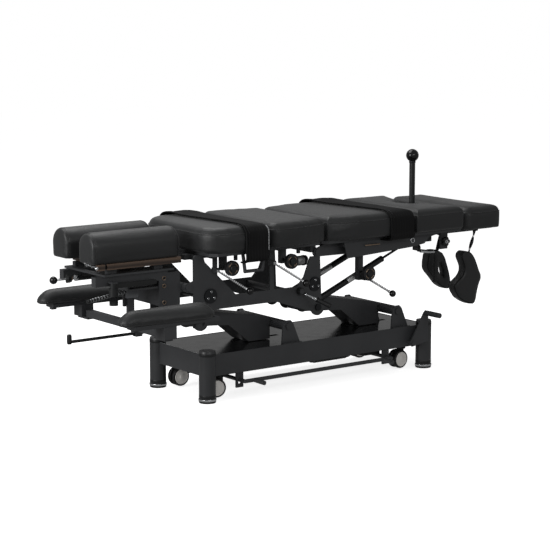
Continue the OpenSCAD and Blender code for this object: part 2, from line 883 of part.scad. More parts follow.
module centre_frame() color(steel_dark) difference() {
    union() {
        both() {
            side_sheet(plate_shape, [side_y, side_y + side_t]);
            for (s = [upper_head_s, upper_foot_s])
                rod_y(s, upper_z, boss_r, [side_y, side_y + side_t]);
            side_sheet([[upper_head_s - over, head_hinge[1] + 2 * head_hub_r],
                [head_hinge[0], head_hinge[1] + head_hub_r],
                [head_hinge[0], head_hinge[1] - head_hub_r],
                [upper_head_s - over, head_hinge[1] - 2 * head_hub_r]],
                [side_y, side_y + side_t]);
            for (p = [head_hinge, [hinge_s, hinge_z]])
                rod_y(p[0], p[1], hinge_eye_r, [side_y, side_y + side_t]);
            rod_y(head_hinge[0], head_hinge[1], hinge_r,
                [side_y - 3 * hinge_eye_r, side_y + side_t]);
            rod_y(head_hinge[0], head_hinge[1], plate_pin_head,
                [side_y + side_t, side_y + side_t + plate_pin_t]);
            rod_y(hinge_s, hinge_z, hinge_r, [side_y, lug_y + lug_t + slip + plate_pin_t]);
            rod_y(hinge_s, hinge_z, plate_pin_head,
                [lug_y + lug_t + slip, lug_y + lug_t + slip + plate_pin_t]);
            slab(rail_s, [top_y - top_w / 2, top_y + top_w / 2], [top_z - top_h, top_z]);
        }
        for (s = cross_s)
            slab([s - top_w / 2, s + top_w / 2], [-side_y - side_t / 2, side_y + side_t / 2],
                [top_z - top_h, top_z]);
        slab([cross_s[1] - top_w / 2, cross_s[1] + top_w / 2],
            [-side_y - side_t / 2, side_y + side_t / 2], [hinge_z, top_z - top_h / 2]);
        for (s = cross_tube_s)
            rod_y(s, cross_tube_z, cross_r, [-side_y - side_t / 2, side_y + side_t / 2]);
        lever_post(chest_lever_at, web_z + top_w);
        lever_post(lumbar_lever_at, web_z - over);
        lever_ear(chest_lever_at);
        lever_ear(lumbar_lever_at);
        wheel_bearing(chest_wheel_at);
        wheel_bearing(lumbar_wheel_at);
        rod_y(flex_at[0], flex_at[1], flex_pin_r,
            [-side_y - side_t - flex_boss_t - 2 * slip - plate_pin_t, -side_y]);
        rod_y(flex_at[0], flex_at[1], flex_pin_r + plate_pin_t,
            [-side_y - side_t - flex_boss_t - 2 * slip - plate_pin_t,
                -side_y - side_t - flex_boss_t - 2 * slip]);
    }
    for (s = [upper_head_s, upper_foot_s])
        rod_y(s, upper_z, shaft_r + run, [-side_y - boss_r, side_y + boss_r]);
    for (s = concat(guide_places[0], guide_places[1])) both() guide_bore(s);
    for (p = [chest_wheel_at, lumbar_wheel_at]) bearing_bore(p);
}

module guide_bore(s) {
    rod_z(s, top_y, guide_post_r + run, [top_z - top_h - over, top_z + over]);
}

module bearing_bore(p) {
    rod_y(p[0], p[1], tension_shaft_r + run, [bearing_y[0] - over, bearing_y[1] + over]);
}

// Post between the side plate and the rail, which carries a ball lever
module lever_post(p, low) {
    s = [p[0] - lever_post_w / 2, p[0] + lever_post_w / 2];
    slab(s, [-side_y - side_t, -side_y], [low, top_z]);
    slab(s, [-side_y - side_t / 2, -top_y], [top_z - top_h, top_z]);
}

module lever_ear(p) {
    s = p[0] - lever_eye_t / 2 - slip;
    slab([s - lever_ear_t, s], [p[1], over - side_y],
        [p[2] - lever_ear_d / 2, p[2] + lever_ear_d / 2]);
    rod_x(p[1], p[2], lever_ear_d / 2, [s - lever_ear_t, s]);
    rod_x(p[1], p[2], lever_pin_r, [s - lever_ear_t, p[0] + lever_eye_t / 2 + 2 * slip]);
    rod_x(p[1], p[2], lever_pin_r + over / 2,
        [p[0] + lever_eye_t / 2 + slip, p[0] + lever_eye_t / 2 + slip + over]);
}

module wheel_bearing(p) {
    s = [p[0] - bearing_w / 2, p[0] + bearing_w / 2];
    slab(s, bearing_y, [p[1] - bearing_drop, top_z]);
    slab(s, [bearing_y[0], -top_y], [top_z - top_h, top_z]);
}

module upper_pivot_shafts() color(hub_grey) {
    end = side_y + side_t + slip;
    for (s = [upper_head_s, upper_foot_s]) {
        rod_y(s, upper_z, shaft_r, [-end, end]);
        for (y = [-end - shaft_head_t, end])
            rod_y(s, upper_z, shaft_head_r, [y, y + shaft_head_t]);
    }
    for (p = hub_places) both() {
        rod_y(p[0], p[1], hub_r, [end, end + hub_t]);
        for (a = [90 : 120 : 330])
            rod_y(p[0] + hub_ring * cos(a), p[1] + hub_ring * sin(a), hub_screw_r,
                [end + hub_t / 2, end + hub_t + hub_screw_t]);
    }
}

module ball_lever(p, reach) difference() {
    union() {
        rod_x(p[1], p[2], lever_eye_r, [p[0] - lever_eye_t / 2, p[0] + lever_eye_t / 2]);
        link(p - [lever_eye_t / 4, 0, 0], p + reach, lever_r);
        ball(p + reach, lever_ball_r);
    }
    rod_x(p[1], p[2], lever_pin_r + run, [p[0] - lever_eye_t, p[0] + lever_eye_t]);
}

module chest_lever() color(chrome) ball_lever(chest_lever_at, lever_reach);
module lumbar_lever() color(chrome) ball_lever(lumbar_lever_at, lever_reach);
module pelvic_lever() color(chrome) ball_lever(pelvic_lever_at, pelvic_reach);

module tension_wheel(p) {
    rod_y(p[0], p[1], tension_r, [tension_y - tension_t, tension_y]);
    rod_y(p[0], p[1], tension_hub_r,
        [tension_y - tension_t - lever_ear_t, tension_y + lever_ear_t]);
    rod_y(p[0], p[1], tension_shaft_r, [tension_y, bearing_y[1]]);
}

module chest_wheel() color(plastic_black) tension_wheel(chest_wheel_at);
module lumbar_wheel() color(plastic_black) tension_wheel(lumbar_wheel_at);
module pelvic_wheel() color(plastic_black) tension_wheel(pelvic_wheel_at);

module flexion_lever() color(plastic_black) {
    y = -side_y - side_t - slip;
    root = [flex_at[0] + flex_root[0], y - flex_boss_t / 2, flex_at[1] + flex_root[1]];
    difference() {
        union() {
            rod_y(flex_at[0], flex_at[1], flex_boss_r, [y - flex_boss_t, y]);
            link(root, root + flex_reach, flex_rod_r);
        }
        rod_y(flex_at[0], flex_at[1], flex_pin_r + run, [y - 2 * flex_boss_t, y + flex_boss_t]);
    }
    link(root + flex_reach / 2, root + flex_reach, flex_grip_r);
}

// Boards that carry the cushions

module board(s, y) {
    translate([0, 0, board_z]) linear_extrude(pad_z - board_z) polygon([
        [x0 + s[0] + board_cut, -y], [x0 + s[1] - board_cut, -y],
        [x0 + s[1], board_cut - y], [x0 + s[1], y - board_cut],
        [x0 + s[1] - board_cut, y], [x0 + s[0] + board_cut, y],
        [x0 + s[0], y - board_cut], [x0 + s[0], board_cut - y]]);
}

module guide_posts(k) {
    for (s = guide_places[k]) both()
        rod_z(s, top_y, guide_post_r, [top_z - guide_post_l, board_z]);
}

module chest_board() color(steel_dark) {
    board([chest_s + board_cut, lumbar_s - board_gap], chest_board_y);
    guide_posts(0);
    both() {
        for (k = [0, 1]) link([loop_s[k], loop_y, board_z],
            [loop_s[k] + (1 - 2 * k) * loop_splay, loop_y, loop_z], loop_r);
        link([loop_s[0] + loop_splay, loop_y, loop_z], [loop_s[1] - loop_splay, loop_y, loop_z],
            loop_r);
        for (k = [0, 1]) ball([loop_s[k] + (1 - 2 * k) * loop_splay, loop_y, loop_z], loop_r + slip);
    }
}

module lumbar_board() color(steel_dark) {
    board([lumbar_s + board_gap, pelvic_s - board_gap], board_y);
    guide_posts(1);
}

module pelvic_board() color(steel_dark) {
    board([pelvic_s + board_gap, leg_s - board_gap], board_y);
    guide_posts(2);
}

// Cushions

// Arc of n steps round a centre
function arc(c, r, a, b, n) = [for (i = [0 : n])
    c + r * [cos(a + (b - a) * i / n), sin(a + (b - a) * i / n)]];

// Far half of an outline, followed by its mirror image
function whole(half) = concat(half, [for (i = [len(half) - 1 : -1 : 0])
    [half[i][0], -half[i][1]]]);

// Rings of an outline, drawn in by d at each height z
function rings(outline, mid, half, steps) = [for (t = steps) [for (p = outline)
    [mid[0] + (p[0] - mid[0]) * (1 - t[0] / half[0]),
        mid[1] + (p[1] - mid[1]) * (1 - t[0] / half[1]), t[1]]]];

function mean(points) = [for (p = points) 1 / len(points)] * points;

module skin(r) {
    n = len(r[0]);
    m = len(r);
    points = concat([for (ring = r) each ring], [mean(r[0]), mean(r[m - 1])]);
    faces = concat(
        [for (k = [0 : m - 2], i = [0 : n - 1])
            each [[k * n + i, k * n + (i + 1) % n, (k + 1) * n + (i + 1) % n],
                [k * n + i, (k + 1) * n + (i + 1) % n, (k + 1) * n + i]]],
        [for (i = [0 : n - 1]) [m * n, (i + 1) % n, i]],
        [for (i = [0 : n - 1]) [m * n + 1, (m - 1) * n + i, (m - 1) * n + (i + 1) % n]]);
    polyhedron(points, faces, convexity = 4);
}

module body_cushion(outline, s) translate([x0, 0, 0])
    skin(rings(outline, [(s[0] + s[1]) / 2, 0], [(s[1] - s[0]) / 2, half_w], cushion_steps));

module chest_cushion() color(vinyl) {
    s = [chest_s, lumbar_s - seam_gap / 2];
    body_cushion(whole(concat(
        arc([s[0] + chest_corner, half_w - chest_corner], chest_corner, 180, 90, 8),
        arc([s[1] - seam_corner, half_w - seam_corner], seam_corner, 90, 0, 4))), s);
}

module lumbar_cushion() color(vinyl) {
    s = [lumbar_s + seam_gap / 2, pelvic_s - seam_gap / 2];
    body_cushion(whole(concat(
        arc([s[0] + lumbar_corner, half_w - lumbar_corner], lumbar_corner, 180, 90, 6),
        [for (i = [1 : 8]) [waist_s[0] + (s[1] - waist_s[0]) * i / 8,
            half_w - (half_w - waist_w) * (1 - cos(90 * i / 8))]])), s);
}

module pelvic_cushion() color(vinyl) {
    s = [pelvic_s + seam_gap / 2, leg_s - seam_gap / 2];
    body_cushion(whole(concat(
        [for (i = [0 : 8]) [s[0] + (waist_s[1] - s[0]) * i / 8,
            waist_w + (half_w - waist_w) * sin(90 * i / 8)]],
        arc([s[1] - seam_corner, half_w - seam_corner], seam_corner, 90, 0, 4))), s);
}

module leg_cushion() color(vinyl) difference() {
    s = [leg_s + seam_gap / 2, foot_s - seam_gap / 2];
    body_cushion(whole(concat(
        arc([s[0] + seam_corner, half_w - seam_corner], seam_corner, 180, 90, 4),
        arc([s[1] - seam_corner, half_w - seam_corner], seam_corner, 90, 0, 4))), s);
    tiller_notch([pad_z - over, seam_z + 2 * crown_h]);
}

module tiller_notch(z) {
    rod_z(tiller_s, 0, notch_r, z);
    slab([tiller_s, foot_s + over], [-notch_r, notch_r], z);
}

module foot_cushion() color(vinyl) translate([0, 0, foot_pad_z - pad_z]) {
    s = [foot_s + seam_gap / 2, foot_reach];
    translate([x0, 0, 0]) skin(rings(whole(concat(
        arc([s[0] + lumbar_corner, half_w - lumbar_corner], lumbar_corner, 180, 90, 6),
        arc([s[1] - foot_corner, half_w - foot_corner], foot_corner, 90, 0, 5))),
        [(s[0] + s[1]) / 2, 0], [(s[1] - s[0]) / 2, half_w], cushion_steps));
}

// Strap over a body cushion, turned in under the edge of its board
module body_strap(s, inner) {
    profile = [for (t = cushion_steps) if (t[1] >= seam_z) [half_w - t[0], t[1]]];
    translate([x0 + s[0], 0, 0]) rotate([90, 0, 90]) linear_extrude(s[1] - s[0])
        difference() {
            strap_section(profile, strap_gap + strap_t, pad_z - strap_low - strap_t);
            strap_section(profile, strap_gap, pad_z - strap_low);
            translate([-inner, pad_z - strap_low - 2 * strap_t])
                square([2 * inner, 3 * strap_t]);
        }
}

module strap_section(profile, grow, low) {
    polygon(concat([[half_w + grow, low]],
        [for (p = profile) [p[0] + grow, p[1] + grow]],
        [for (i = [len(profile) - 1 : -1 : 0]) [-profile[i][0] - grow, profile[i][1] + grow]],
        [[-half_w - grow, low]]));
}

module chest_strap() color(webbing) difference() {
    body_strap([lumbar_s - seam_gap - strap_w, lumbar_s - seam_gap], loop_y - 3 * loop_r);
    for (s = loop_s) both()
        rod_z(s, loop_y, loop_r + over, [loop_z, pad_z]);
}

module pelvic_strap() color(webbing)
    body_strap([leg_s - seam_gap - strap_w, leg_s - seam_gap], skirt_y + 2 * skirt_t);

// Caudal section

module caudal_frame() color(steel_dark) difference() {
    union() {
        both() {
            side_sheet([[hinge_s, hinge_z + hinge_eye_r], [caudal_s, top_z - over],
                [lug_end, top_z - over], [lug_end, lug_low], [hinge_s, hinge_z - hinge_eye_r]],
                [lug_y, lug_y + lug_t]);
            rod_y(hinge_s, hinge_z, hinge_eye_r, [lug_y, lug_y + lug_t]);
            side_sheet(skirt_shape, [skirt_y, skirt_y + skirt_t]);
            slab([caudal_s, caudal_end], [top_y - top_w / 2, top_y + top_w / 2],
                [top_z - top_h, top_z]);
            for (s = [slide_s + over, caudal_end - sleeve_l]) slide_sleeve([s, s + sleeve_l]);
            slab([tiller_s - tiller_cross_w / 2, tiller_s + tiller_cross_w / 2],
                [top_y - top_w / 2, top_y + top_w / 2], [tiller_cross_z[0], top_z]);
            side_sheet([[tiller_s - tiller_cross_w / 2, tiller_cross_z[0]],
                [tiller_s + tiller_cross_w / 2, tiller_cross_z[0]],
                [tiller_s + tiller_eye_r / 2, tiller_z + tiller_eye_r],
                [tiller_s - tiller_eye_r / 2, tiller_z + tiller_eye_r]],
                [tiller_d / 2 + slip, tiller_d / 2 + slip + tiller_ear_t]);
            for (y = [strut_y - strut_eye_t / 2 - slip - strut_lug_t,
                    strut_y + strut_eye_t / 2 + slip])
                slab([strut_s - strut_lug_w / 2, strut_s + strut_lug_w / 2],
                    [y, y + strut_lug_t], [strut_z - strut_lug_w / 2, top_z - top_h / 2]);
            rod_y(strut_s, strut_z, strut_pin_r,
                [strut_y - strut_eye_t, strut_y + strut_eye_t]);
        }
        for (s = caudal_cross_s)
            slab([s - top_w / 2, s + top_w / 2], [-skirt_y - skirt_t / 2, skirt_y + skirt_t / 2],
                [top_z - top_h, top_z]);
        slab([tiller_s - tiller_cross_w / 2, tiller_s + tiller_cross_w / 2],
            [-top_y, top_y], tiller_cross_z);
        rod_y(tiller_s, tiller_z, tiller_pin_r, [-2 * tiller_eye_r, 2 * tiller_eye_r]);
        difference() {
            translate([0, 0, top_z]) linear_extrude(pad_z - top_z)
                translate([x0 + leg_s + board_gap, -leg_board_y])
                    square([foot_s - leg_s - 2 * board_gap, 2 * leg_board_y]);
            tiller_notch([top_z - over, pad_z + over]);
        }
        wheel_bearing(pelvic_wheel_at);
        slab([pelvic_wheel_at[0] - bearing_w / 2, pelvic_wheel_at[0] + bearing_w / 2],
            bearing_y, [pelvic_lever_at[2] - lever_ear_d / 2, pelvic_wheel_at[1]]);
        lever_ear(pelvic_lever_at);
        clamp_bracket();
        slab([handle_s - lug_t / 2, handle_s + lug_t / 2], handle_lug_y,
            [handle_z - handle_eye, top_z]);
        rod_x(handle_y, handle_z, lever_pin_r,
            [handle_s - lug_t / 2, handle_s + lug_t + handle_eye]);
        rod_x(handle_y, handle_z, lever_pin_r + over,
            [handle_s + lug_t / 2 + handle_eye + 2 * slip,
                handle_s + lug_t + handle_eye + 2 * slip]);
    }
    both() {
        rod_y(hinge_s, hinge_z, hinge_r + run, [lug_y - over, lug_y + lug_t + over]);
        for (s = guide_places[2]) guide_bore(s);
    }
    bearing_bore(pelvic_wheel_at);
    rod_y(clamp_at[0], clamp_at[1], clamp_shaft_r + run,
        [clamp_y - 2 * clamp_t, clamp_y + 2 * clamp_t]);
}

module clamp_bracket() {
    slab([clamp_at[0] - clamp_w / 2, clamp_at[0] + clamp_w / 2], [clamp_y, clamp_y + clamp_t],
        [clamp_low, top_z]);
}

// Channel round one of the foot section's bars
module slide_sleeve(s) difference() {
    half = slide_w / 2 + slip;
    slab(s, [slide_y - half - sleeve_w, slide_y + half + sleeve_w],
        [slide_low - slip - sleeve_w, top_z]);
    slab([s[0] - over, s[1] + over], [slide_y - half, slide_y + half],
        [slide_low - slip, top_z]);
}

module strut_place() {
    both() translate([x0 + upper_foot_s, strut_y, upper_z]) rotate([0, 90 - strut_a, 0])
        children();
}

module strut_bodies() color(plastic_black) strut_place() difference() {
    union() {
        rotate([90, 0, 0]) cylinder(r = strut_eye_r, h = strut_eye_t, center = true);
        cylinder(r = strut_body_r, h = strut_body_l);
    }
    rotate([90, 0, 0]) cylinder(r = shaft_r + run, h = 2 * strut_eye_t, center = true);
    translate([0, 0, strut_body_l - strut_cavity])
        cylinder(r = strut_bore_r, h = strut_cavity - strut_gland);
    translate([0, 0, strut_body_l - 2 * strut_gland])
        cylinder(r = strut_rod_r + run, h = 3 * strut_gland);
}

module strut_rods() color(chrome) strut_place() difference() {
    union() {
        translate([0, 0, strut_body_l - strut_rod_in])
            cylinder(r = strut_rod_r, h = strut_l - strut_body_l + strut_rod_in);
        translate([0, 0, strut_l]) rotate([90, 0, 0])
            cylinder(r = strut_tip_r, h = strut_eye_t, center = true);
    }
    translate([0, 0, strut_l]) rotate([90, 0, 0])
        cylinder(r = strut_pin_r + strut_play, h = 2 * strut_eye_t, center = true);
}

module tiller() color(plastic_black) difference() {
    union() {
        rod_y(tiller_s, tiller_z, tiller_eye_r, [-tiller_d / 2, tiller_d / 2]);
        rod_z(tiller_s, 0, tiller_d / 2, [tiller_z, tiller_top - ball_d / 2]);
        ball([tiller_s, 0, tiller_top - ball_d / 2], ball_d / 2);
    }
    rod_y(tiller_s, tiller_z, tiller_pin_r + run, [-2 * tiller_eye_r, 2 * tiller_eye_r]);
}

module traction_handle() color(plastic_black) {
    root = [handle_s + lug_t / 2 + slip, handle_y, handle_z];
    difference() {
        rod_x(handle_y, handle_z, handle_eye, [root[0], root[0] + handle_eye]);
        rod_x(handle_y, handle_z, lever_pin_r + run,
            [root[0] - over, root[0] + 2 * handle_eye]);
    }
    bend = [handle_bend[0], handle_y, handle_bend[1]];
    start = root + [handle_eye / 2, 0, -handle_eye];
    link(start, bend, handle_r);
    ball(bend, handle_grip_r);
    link(bend, [bend[0], handle_y, handle_low], handle_grip_r);
}

module foot_slide() color(steel_dark) {
    both() slab([slide_s, slide_end], [slide_y - slide_w / 2, slide_y + slide_w / 2],
        [slide_low, slide_low + slide_w]);
    slab([slide_end - slide_w, slide_end], [-slide_y, slide_y], [slide_low, slide_low + slide_w]);
    slab([foot_s + slide_w, foot_board_end], [-foot_board_y, foot_board_y],
        [slide_low + slide_w - over, foot_pad_z]);
    for (y = cuff_ys) {
        for (k = [near, far]) cuff_hook(y + k * (strap_end_w / 2 + 2 * cuff_bar_r));
        rod_y(cuff_s, cuff_bar_z, cuff_bar_r,
            [y - strap_end_w / 2 - 2 * cuff_bar_r, y + strap_end_w / 2 + 2 * cuff_bar_r]);
    }
}

module cuff_hook(y) {
    slab([cuff_s - cuff_eye_r / 2, cuff_s + cuff_eye_r / 2],
        [y - cuff_bar_r / 2, y + cuff_bar_r / 2], [cuff_bar_z - cuff_bar_r, foot_pad_z - over]);
}

module clamp_knob() color(plastic_black) {
    y = clamp_y - slip;
    rod_y(clamp_at[0], clamp_at[1], clamp_shaft_r, [y - clamp_t, clamp_y + clamp_t + slip]);
    rod_y(clamp_at[0], clamp_at[1], clamp_r, [y - 2 * clamp_t, y]);
    for (i = [1 : clamp_lobes])
        rod_y(clamp_at[0] + clamp_r * cos(360 * i / clamp_lobes),
            clamp_at[1] + clamp_r * sin(360 * i / clamp_lobes), clamp_lobe_r,
            [y - 2 * clamp_t, y - clamp_t / 2]);
}

// Padded cuffs that hang from the foot section by webbing
module ankle_cuffs() color(webbing) for (k = [0, 1]) {
    y = cuff_ys[k];
    difference() {
        union() {
            rod_y(cuff_s, cuff_bar_z, cuff_eye_r, [y - strap_end_w / 2, y + strap_end_w / 2]);
            slab([cuff_s - cuff_strap_t, cuff_s + cuff_strap_t],
                [y - strap_end_w / 2, y + strap_end_w / 2],
                [cuff_bar_z - cuff_l * cuff_strap_share, cuff_bar_z]);
            cuff(y, k == 0 ? near_cuff_shares : far_cuff_shares);
        }
        rod_y(cuff_s, cuff_bar_z, cuff_bar_r + run, [y - strap_end_w, y + strap_end_w]);
        if (k == 1) cuff(y, far_hole_shares, over);
    }
}

module cuff(y, shares, extra = 0) translate([x0 + cuff_s, y + cuff_w / 2 + extra, cuff_bar_z])
    rotate([90, 0, 0]) linear_extrude(cuff_w + 2 * extra) polygon(cuff_l * shares);

// Head piece

module head_frame() color(steel_dark) difference() {
    union() {
        both() {
            slab(head_tube_s, [head_tube_y - head_tube_w / 2, head_tube_y + head_tube_w / 2],
                head_tube_z);
            side_sheet([[head_plate_s[0], head_plate_z[1]], [head_plate_s[0], head_plate_z[0]],
                [head_plate_s[1] - plate_edge, head_plate_z[0]],
                [head_plate_s[1], head_plate_z[0] + plate_edge],
                [head_plate_s[1], head_hinge[1] - head_hub_r],
                [head_hinge[0], head_hinge[1] - head_hub_r],
                [head_hinge[0], head_hinge[1] + head_hub_r],
                [head_plate_s[1], head_hinge[1] + head_hub_r],
                [head_plate_s[1], head_plate_z[1] - plate_edge],
                [head_plate_s[1] - plate_edge, head_plate_z[1]]],
                [head_plate_y, head_plate_y + head_plate_t]);
        }
        rod_y(head_hinge[0], head_hinge[1], head_hub_r, [-side_y + slip, side_y - slip]);
        slab(head_back_s, [-head_tube_y, head_tube_y], [head_floor_z, head_tube_z[1]]);
        slab(head_back_s, [-head_plate_y - head_plate_t / 2, head_plate_y + head_plate_t / 2],
            [head_plate_z[0] + plate_edge, head_tube_z[0] + over]);
        slab(head_bar_s, [-head_tube_y, head_tube_y], head_tube_z);
        slab(head_floor_s, [-head_plate_y, head_plate_y],
            [head_floor_z, head_floor_z + head_floor_t]);
        slab([head_floor_s[0], head_floor_s[0] + head_floor_t], [-head_tube_y, head_tube_y],
            [head_floor_z, head_tube_z[0] + over]);
        slab([rest_s - carrier_w / 2 - rest_clamp_wall, rest_s + carrier_w / 2 + rest_clamp_wall],
            [rest_bar_y - rest_bar_t / 2 - rest_clamp_wall,
                rest_bar_y + rest_bar_t / 2 + rest_clamp_wall], rest_clamp_z);
        slab([head_lever_at[0] - head_tab_w / 2, head_lever_at[0] + head_tab_w / 2],
            [head_lever_at[1] - head_tab_w / 2, -head_tube_y],
            [head_tab_z, head_tab_z + head_tab_t]);
        rod_z(head_lever_at[0], head_lever_at[1], head_stud_r,
            [head_lever_z - head_cup_h, head_tab_z + head_tab_t / 2]);
    }
    slab([rest_s - carrier_w / 2 - slip, rest_s + carrier_w / 2 + slip],
        [rest_bar_y - rest_bar_t / 2 - slip, rest_bar_y + rest_bar_t / 2 + slip],
        [rest_clamp_z[0] - over, head_tube_z[1] + over]);
    rod_y(head_hinge[0], head_hinge[1], hinge_r + run, [-side_y, side_y]);
    for (s = tray_post_s) both()
        rod_z(s, head_tube_y, tray_post_r + run, [head_tube_z[0] - over, head_tube_z[1] + over]);
    rod_x(pull_y, pull_z, pull_r + run, [head_bar_s[0] - over, head_bar_s[1] + over]);
}

module head_tray() color(steel_dark) {
    z = [head_tube_z[1] + slip, head_tube_z[1] + slip + tray_t];
    both() {
        slab(tray_s, tray_y, z);
        for (s = tray_post_s) {
            rod_z(s, head_tube_y, tray_post_r, [z[0] - tray_post_l, z[1]]);
            slab([s - spacer_w / 2, s + spacer_w / 2],
                [head_tube_y - spacer_w / 4, head_tube_y + spacer_w / 4],
                [z[0], bolster_z - head_board_t]);
        }
    }
    for (s = [tray_s[0], tray_s[1] - tray_bar]) slab([s, s + tray_bar], [-tray_y[0], tray_y[0]], z);
}

module head_boards() color(board_brown) {
    outer = face_gap + bolster_w - head_board_in;
    strip = [-outer, board_strip_w - outer];
    z = [bolster_z - head_board_t, bolster_z];
    both() slab([head_board_s, bolster_s], [face_gap + head_board_in, outer], z);
    slab([board_strip_s, head_board_s + over], strip, z);
    slab(end_block_s, strip, z);
    rod_x((strip[0] + strip[1]) / 2, (z[0] + z[1]) / 2, board_rod_r,
        [end_block_s[1] - over, board_strip_s + over]);
}

// Round-topped cushion, with its flat ends drawn in a little
module bolster() {
    r = bolster_w / 2;
    high = bolster_h - r;
    section = concat([[-r + bolster_pull / 2, 0], [r - bolster_pull / 2, 0]],
        arc([0, high], r, 0, 180, 14));
    ends = [[0, bolster_pull], [bolster_pull / 2, bolster_pull / 2], [2 * bolster_pull, 0],
        [bolster_l - 2 * bolster_pull, 0], [bolster_l - bolster_pull / 2, bolster_pull / 2],
        [bolster_l, bolster_pull]];
    translate([x0 + bolster_s - bolster_l, face_gap + r, bolster_z])
        skin([for (e = ends) [for (p = section)
            [e[0], p[0] * (1 - e[1] / r), max(0, (p[1] - high) * (1 - e[1] / r) + high)]]]);
}

module head_cushion_far() color(vinyl) bolster();
module head_cushion_near() color(vinyl) mirror([0, 1, 0]) bolster();

module head_lever() color(plastic_black) difference() {
    union() {
        slab([head_lever_at[0], head_lever_at[0] + head_lever_l - head_lever_h / 2],
            [head_lever_at[1] - head_lever_t / 2, head_lever_at[1] + head_lever_t / 2],
            [head_lever_z, head_lever_z + head_lever_h]);
        rod_y(head_lever_at[0] + head_lever_l - head_lever_h / 2,
            head_lever_z + head_lever_h / 2, head_lever_h / 2,
            [head_lever_at[1] - head_lever_t / 2, head_lever_at[1] + head_lever_t / 2]);
        rod_z(head_lever_at[0], head_lever_at[1], head_tab_w / 2,
            [head_lever_z, head_lever_z + head_lever_h]);
        rod_z(head_lever_at[0], head_lever_at[1], head_cup_r,
            [head_lever_z - head_cup_h, head_lever_z]);
    }
    rod_z(head_lever_at[0], head_lever_at[1], head_stud_r + run,
        [head_lever_z - head_cup_h - over, head_tab_z]);
}

module pull_knob() color(plastic_black) {
    rod_x(pull_y, pull_z, pull_r, pull_s);
    rod_x(pull_y, pull_z, pull_sleeve_r, pull_sleeve_s);
    rod_x(pull_y, pull_z, pull_star_r, pull_star_s);
    for (i = [1 : clamp_lobes])
        rod_x(pull_y + pull_star_r * cos(360 * i / clamp_lobes),
            pull_z + pull_star_r * sin(360 * i / clamp_lobes), pull_lobe_r, pull_star_s);
    translate([x0 + pull_s[0], pull_y, pull_z]) rotate([0, 90, 0]) sphere(r = pull_ball_r);
}

// Arm rests

module tilt_rod() color(plastic_black) {
    rod_x(tilt_y, tilt_z, tilt_r, [tilt_grip_r - head_reach, tilt_s]);
    rod_z(tilt_grip_r - head_reach, tilt_y, tilt_grip_r,
        [tilt_z - tilt_grip_r, tilt_z + tilt_grip_rise]);
    for (s = [rest_s - carrier_w / 2 - slip - tilt_r, rest_s + carrier_w / 2 + slip])
        rod_x(tilt_y, tilt_z, tilt_r + over, [s, s + tilt_r]);
}

module armrest_carrier() color(steel_dark) difference() {
    end = rest_y - rest_gap;
    union() {
        slab([rest_s - carrier_w / 2, rest_s + carrier_w / 2], [-end, end], carrier_z);
        slab([rest_s - carrier_w / 2, rest_s + carrier_w / 2],
            [rest_bar_y - rest_bar_t / 2, rest_bar_y + rest_bar_t / 2],
            [carrier_z[0], rest_bar_top]);
        slab([rest_s - carrier_w / 2, rest_s + carrier_w / 2],
            [tilt_y - tilt_block / 2, tilt_y + tilt_block / 2],
            [tilt_z - tilt_block / 2, carrier_z[0]]);
        both() {
            slab([rest_s - rest_tab_w / 2, rest_s + rest_tab_w / 2],
                [end - rest_tab_w / 2, rest_y + rest_tab_w / 2],
                [carrier_z[0] - rest_tab_t, carrier_z[0]]);
            rod_z(rest_s, rest_y, rest_pin_r, [carrier_z[0] - rest_tab_t, rest_pin_top]);
        }
    }
    rod_x(tilt_y, tilt_z, tilt_r + run, [rest_s - carrier_w, rest_s + carrier_w]);
}

module armrest_bracket() color(steel_dark) difference() {
    union() {
        slab([rest_s - rest_block_w / 2, rest_s + rest_block_w / 2],
            [rest_y - rest_block_d / 2, rest_y + rest_block_d / 2],
            [carrier_z[0] + slip, rest_z - strip_t]);
        slab(strip_s, [rest_y - strip_w / 2, rest_y + strip_w / 2], [rest_z - strip_t, rest_z]);
        slab([stub_s - stub_w / 2, stub_s + stub_w / 2], [rest_y - stub_w / 2, rest_y + stub_w / 2],
            [rest_z - strip_t - stub_h, rest_z - strip_t]);
        rod_z(rest_knob_s, rest_y, rest_knob_r,
            [rest_z - strip_t - rest_knob_h, rest_z - strip_t]);
    }
    rod_z(rest_s, rest_y, rest_pin_r + run, [carrier_z[0] - over, rest_pin_top + slip]);
}

module armrest_far() armrest_bracket();
module armrest_near() mirror([0, 1, 0]) armrest_bracket();

module armrest_pad() color(vinyl) {
    r = rest_w / 2;
    half = rest_l / 2;
    translate([x0 + rest_s, rest_y, 0])
        skin(rings(concat(arc([half - r, 0], r, 90, -90, 12),
            arc([rest_tip_share * r - half, 0], rest_tip_share * r, 270, 90, 10)),
            [0, 0], [half, r], rest_steps));
}

module armrest_pad_far() armrest_pad();
module armrest_pad_near() mirror([0, 1, 0]) armrest_pad();

base_frame();
base_deck();
leg_posts();
levelling_feet();
lower_pivot_shafts();
lift_drive();
caster_carriage();
caster_yoke_1();
caster_yoke_2();
caster_yoke_3();
caster_yoke_4();
caster_wheels_1();
caster_wheels_2();
caster_wheels_3();
caster_wheels_4();
foot_bar();
caster_pedal();
lift_rod();
head_lift_arm();
foot_lift_arm();
centre_frame();
upper_pivot_shafts();
chest_board();
chest_cushion();
chest_strap();
chest_lever();
chest_wheel();
lumbar_board();
lumbar_cushion();
lumbar_lever();
lumbar_wheel();
flexion_lever();
caudal_frame();
pelvic_board();
pelvic_cushion();
leg_cushion();
pelvic_strap();
pelvic_lever();
pelvic_wheel();
tiller();
traction_handle();
strut_bodies();
strut_rods();
foot_slide();
foot_cushion();
clamp_knob();
ankle_cuffs();
head_frame();
head_tray();
head_boards();
head_cushion_near();
head_cushion_far();
head_lever();
pull_knob();
tilt_rod();
armrest_carrier();
armrest_near();
armrest_far();
armrest_pad_near();
armrest_pad_far();
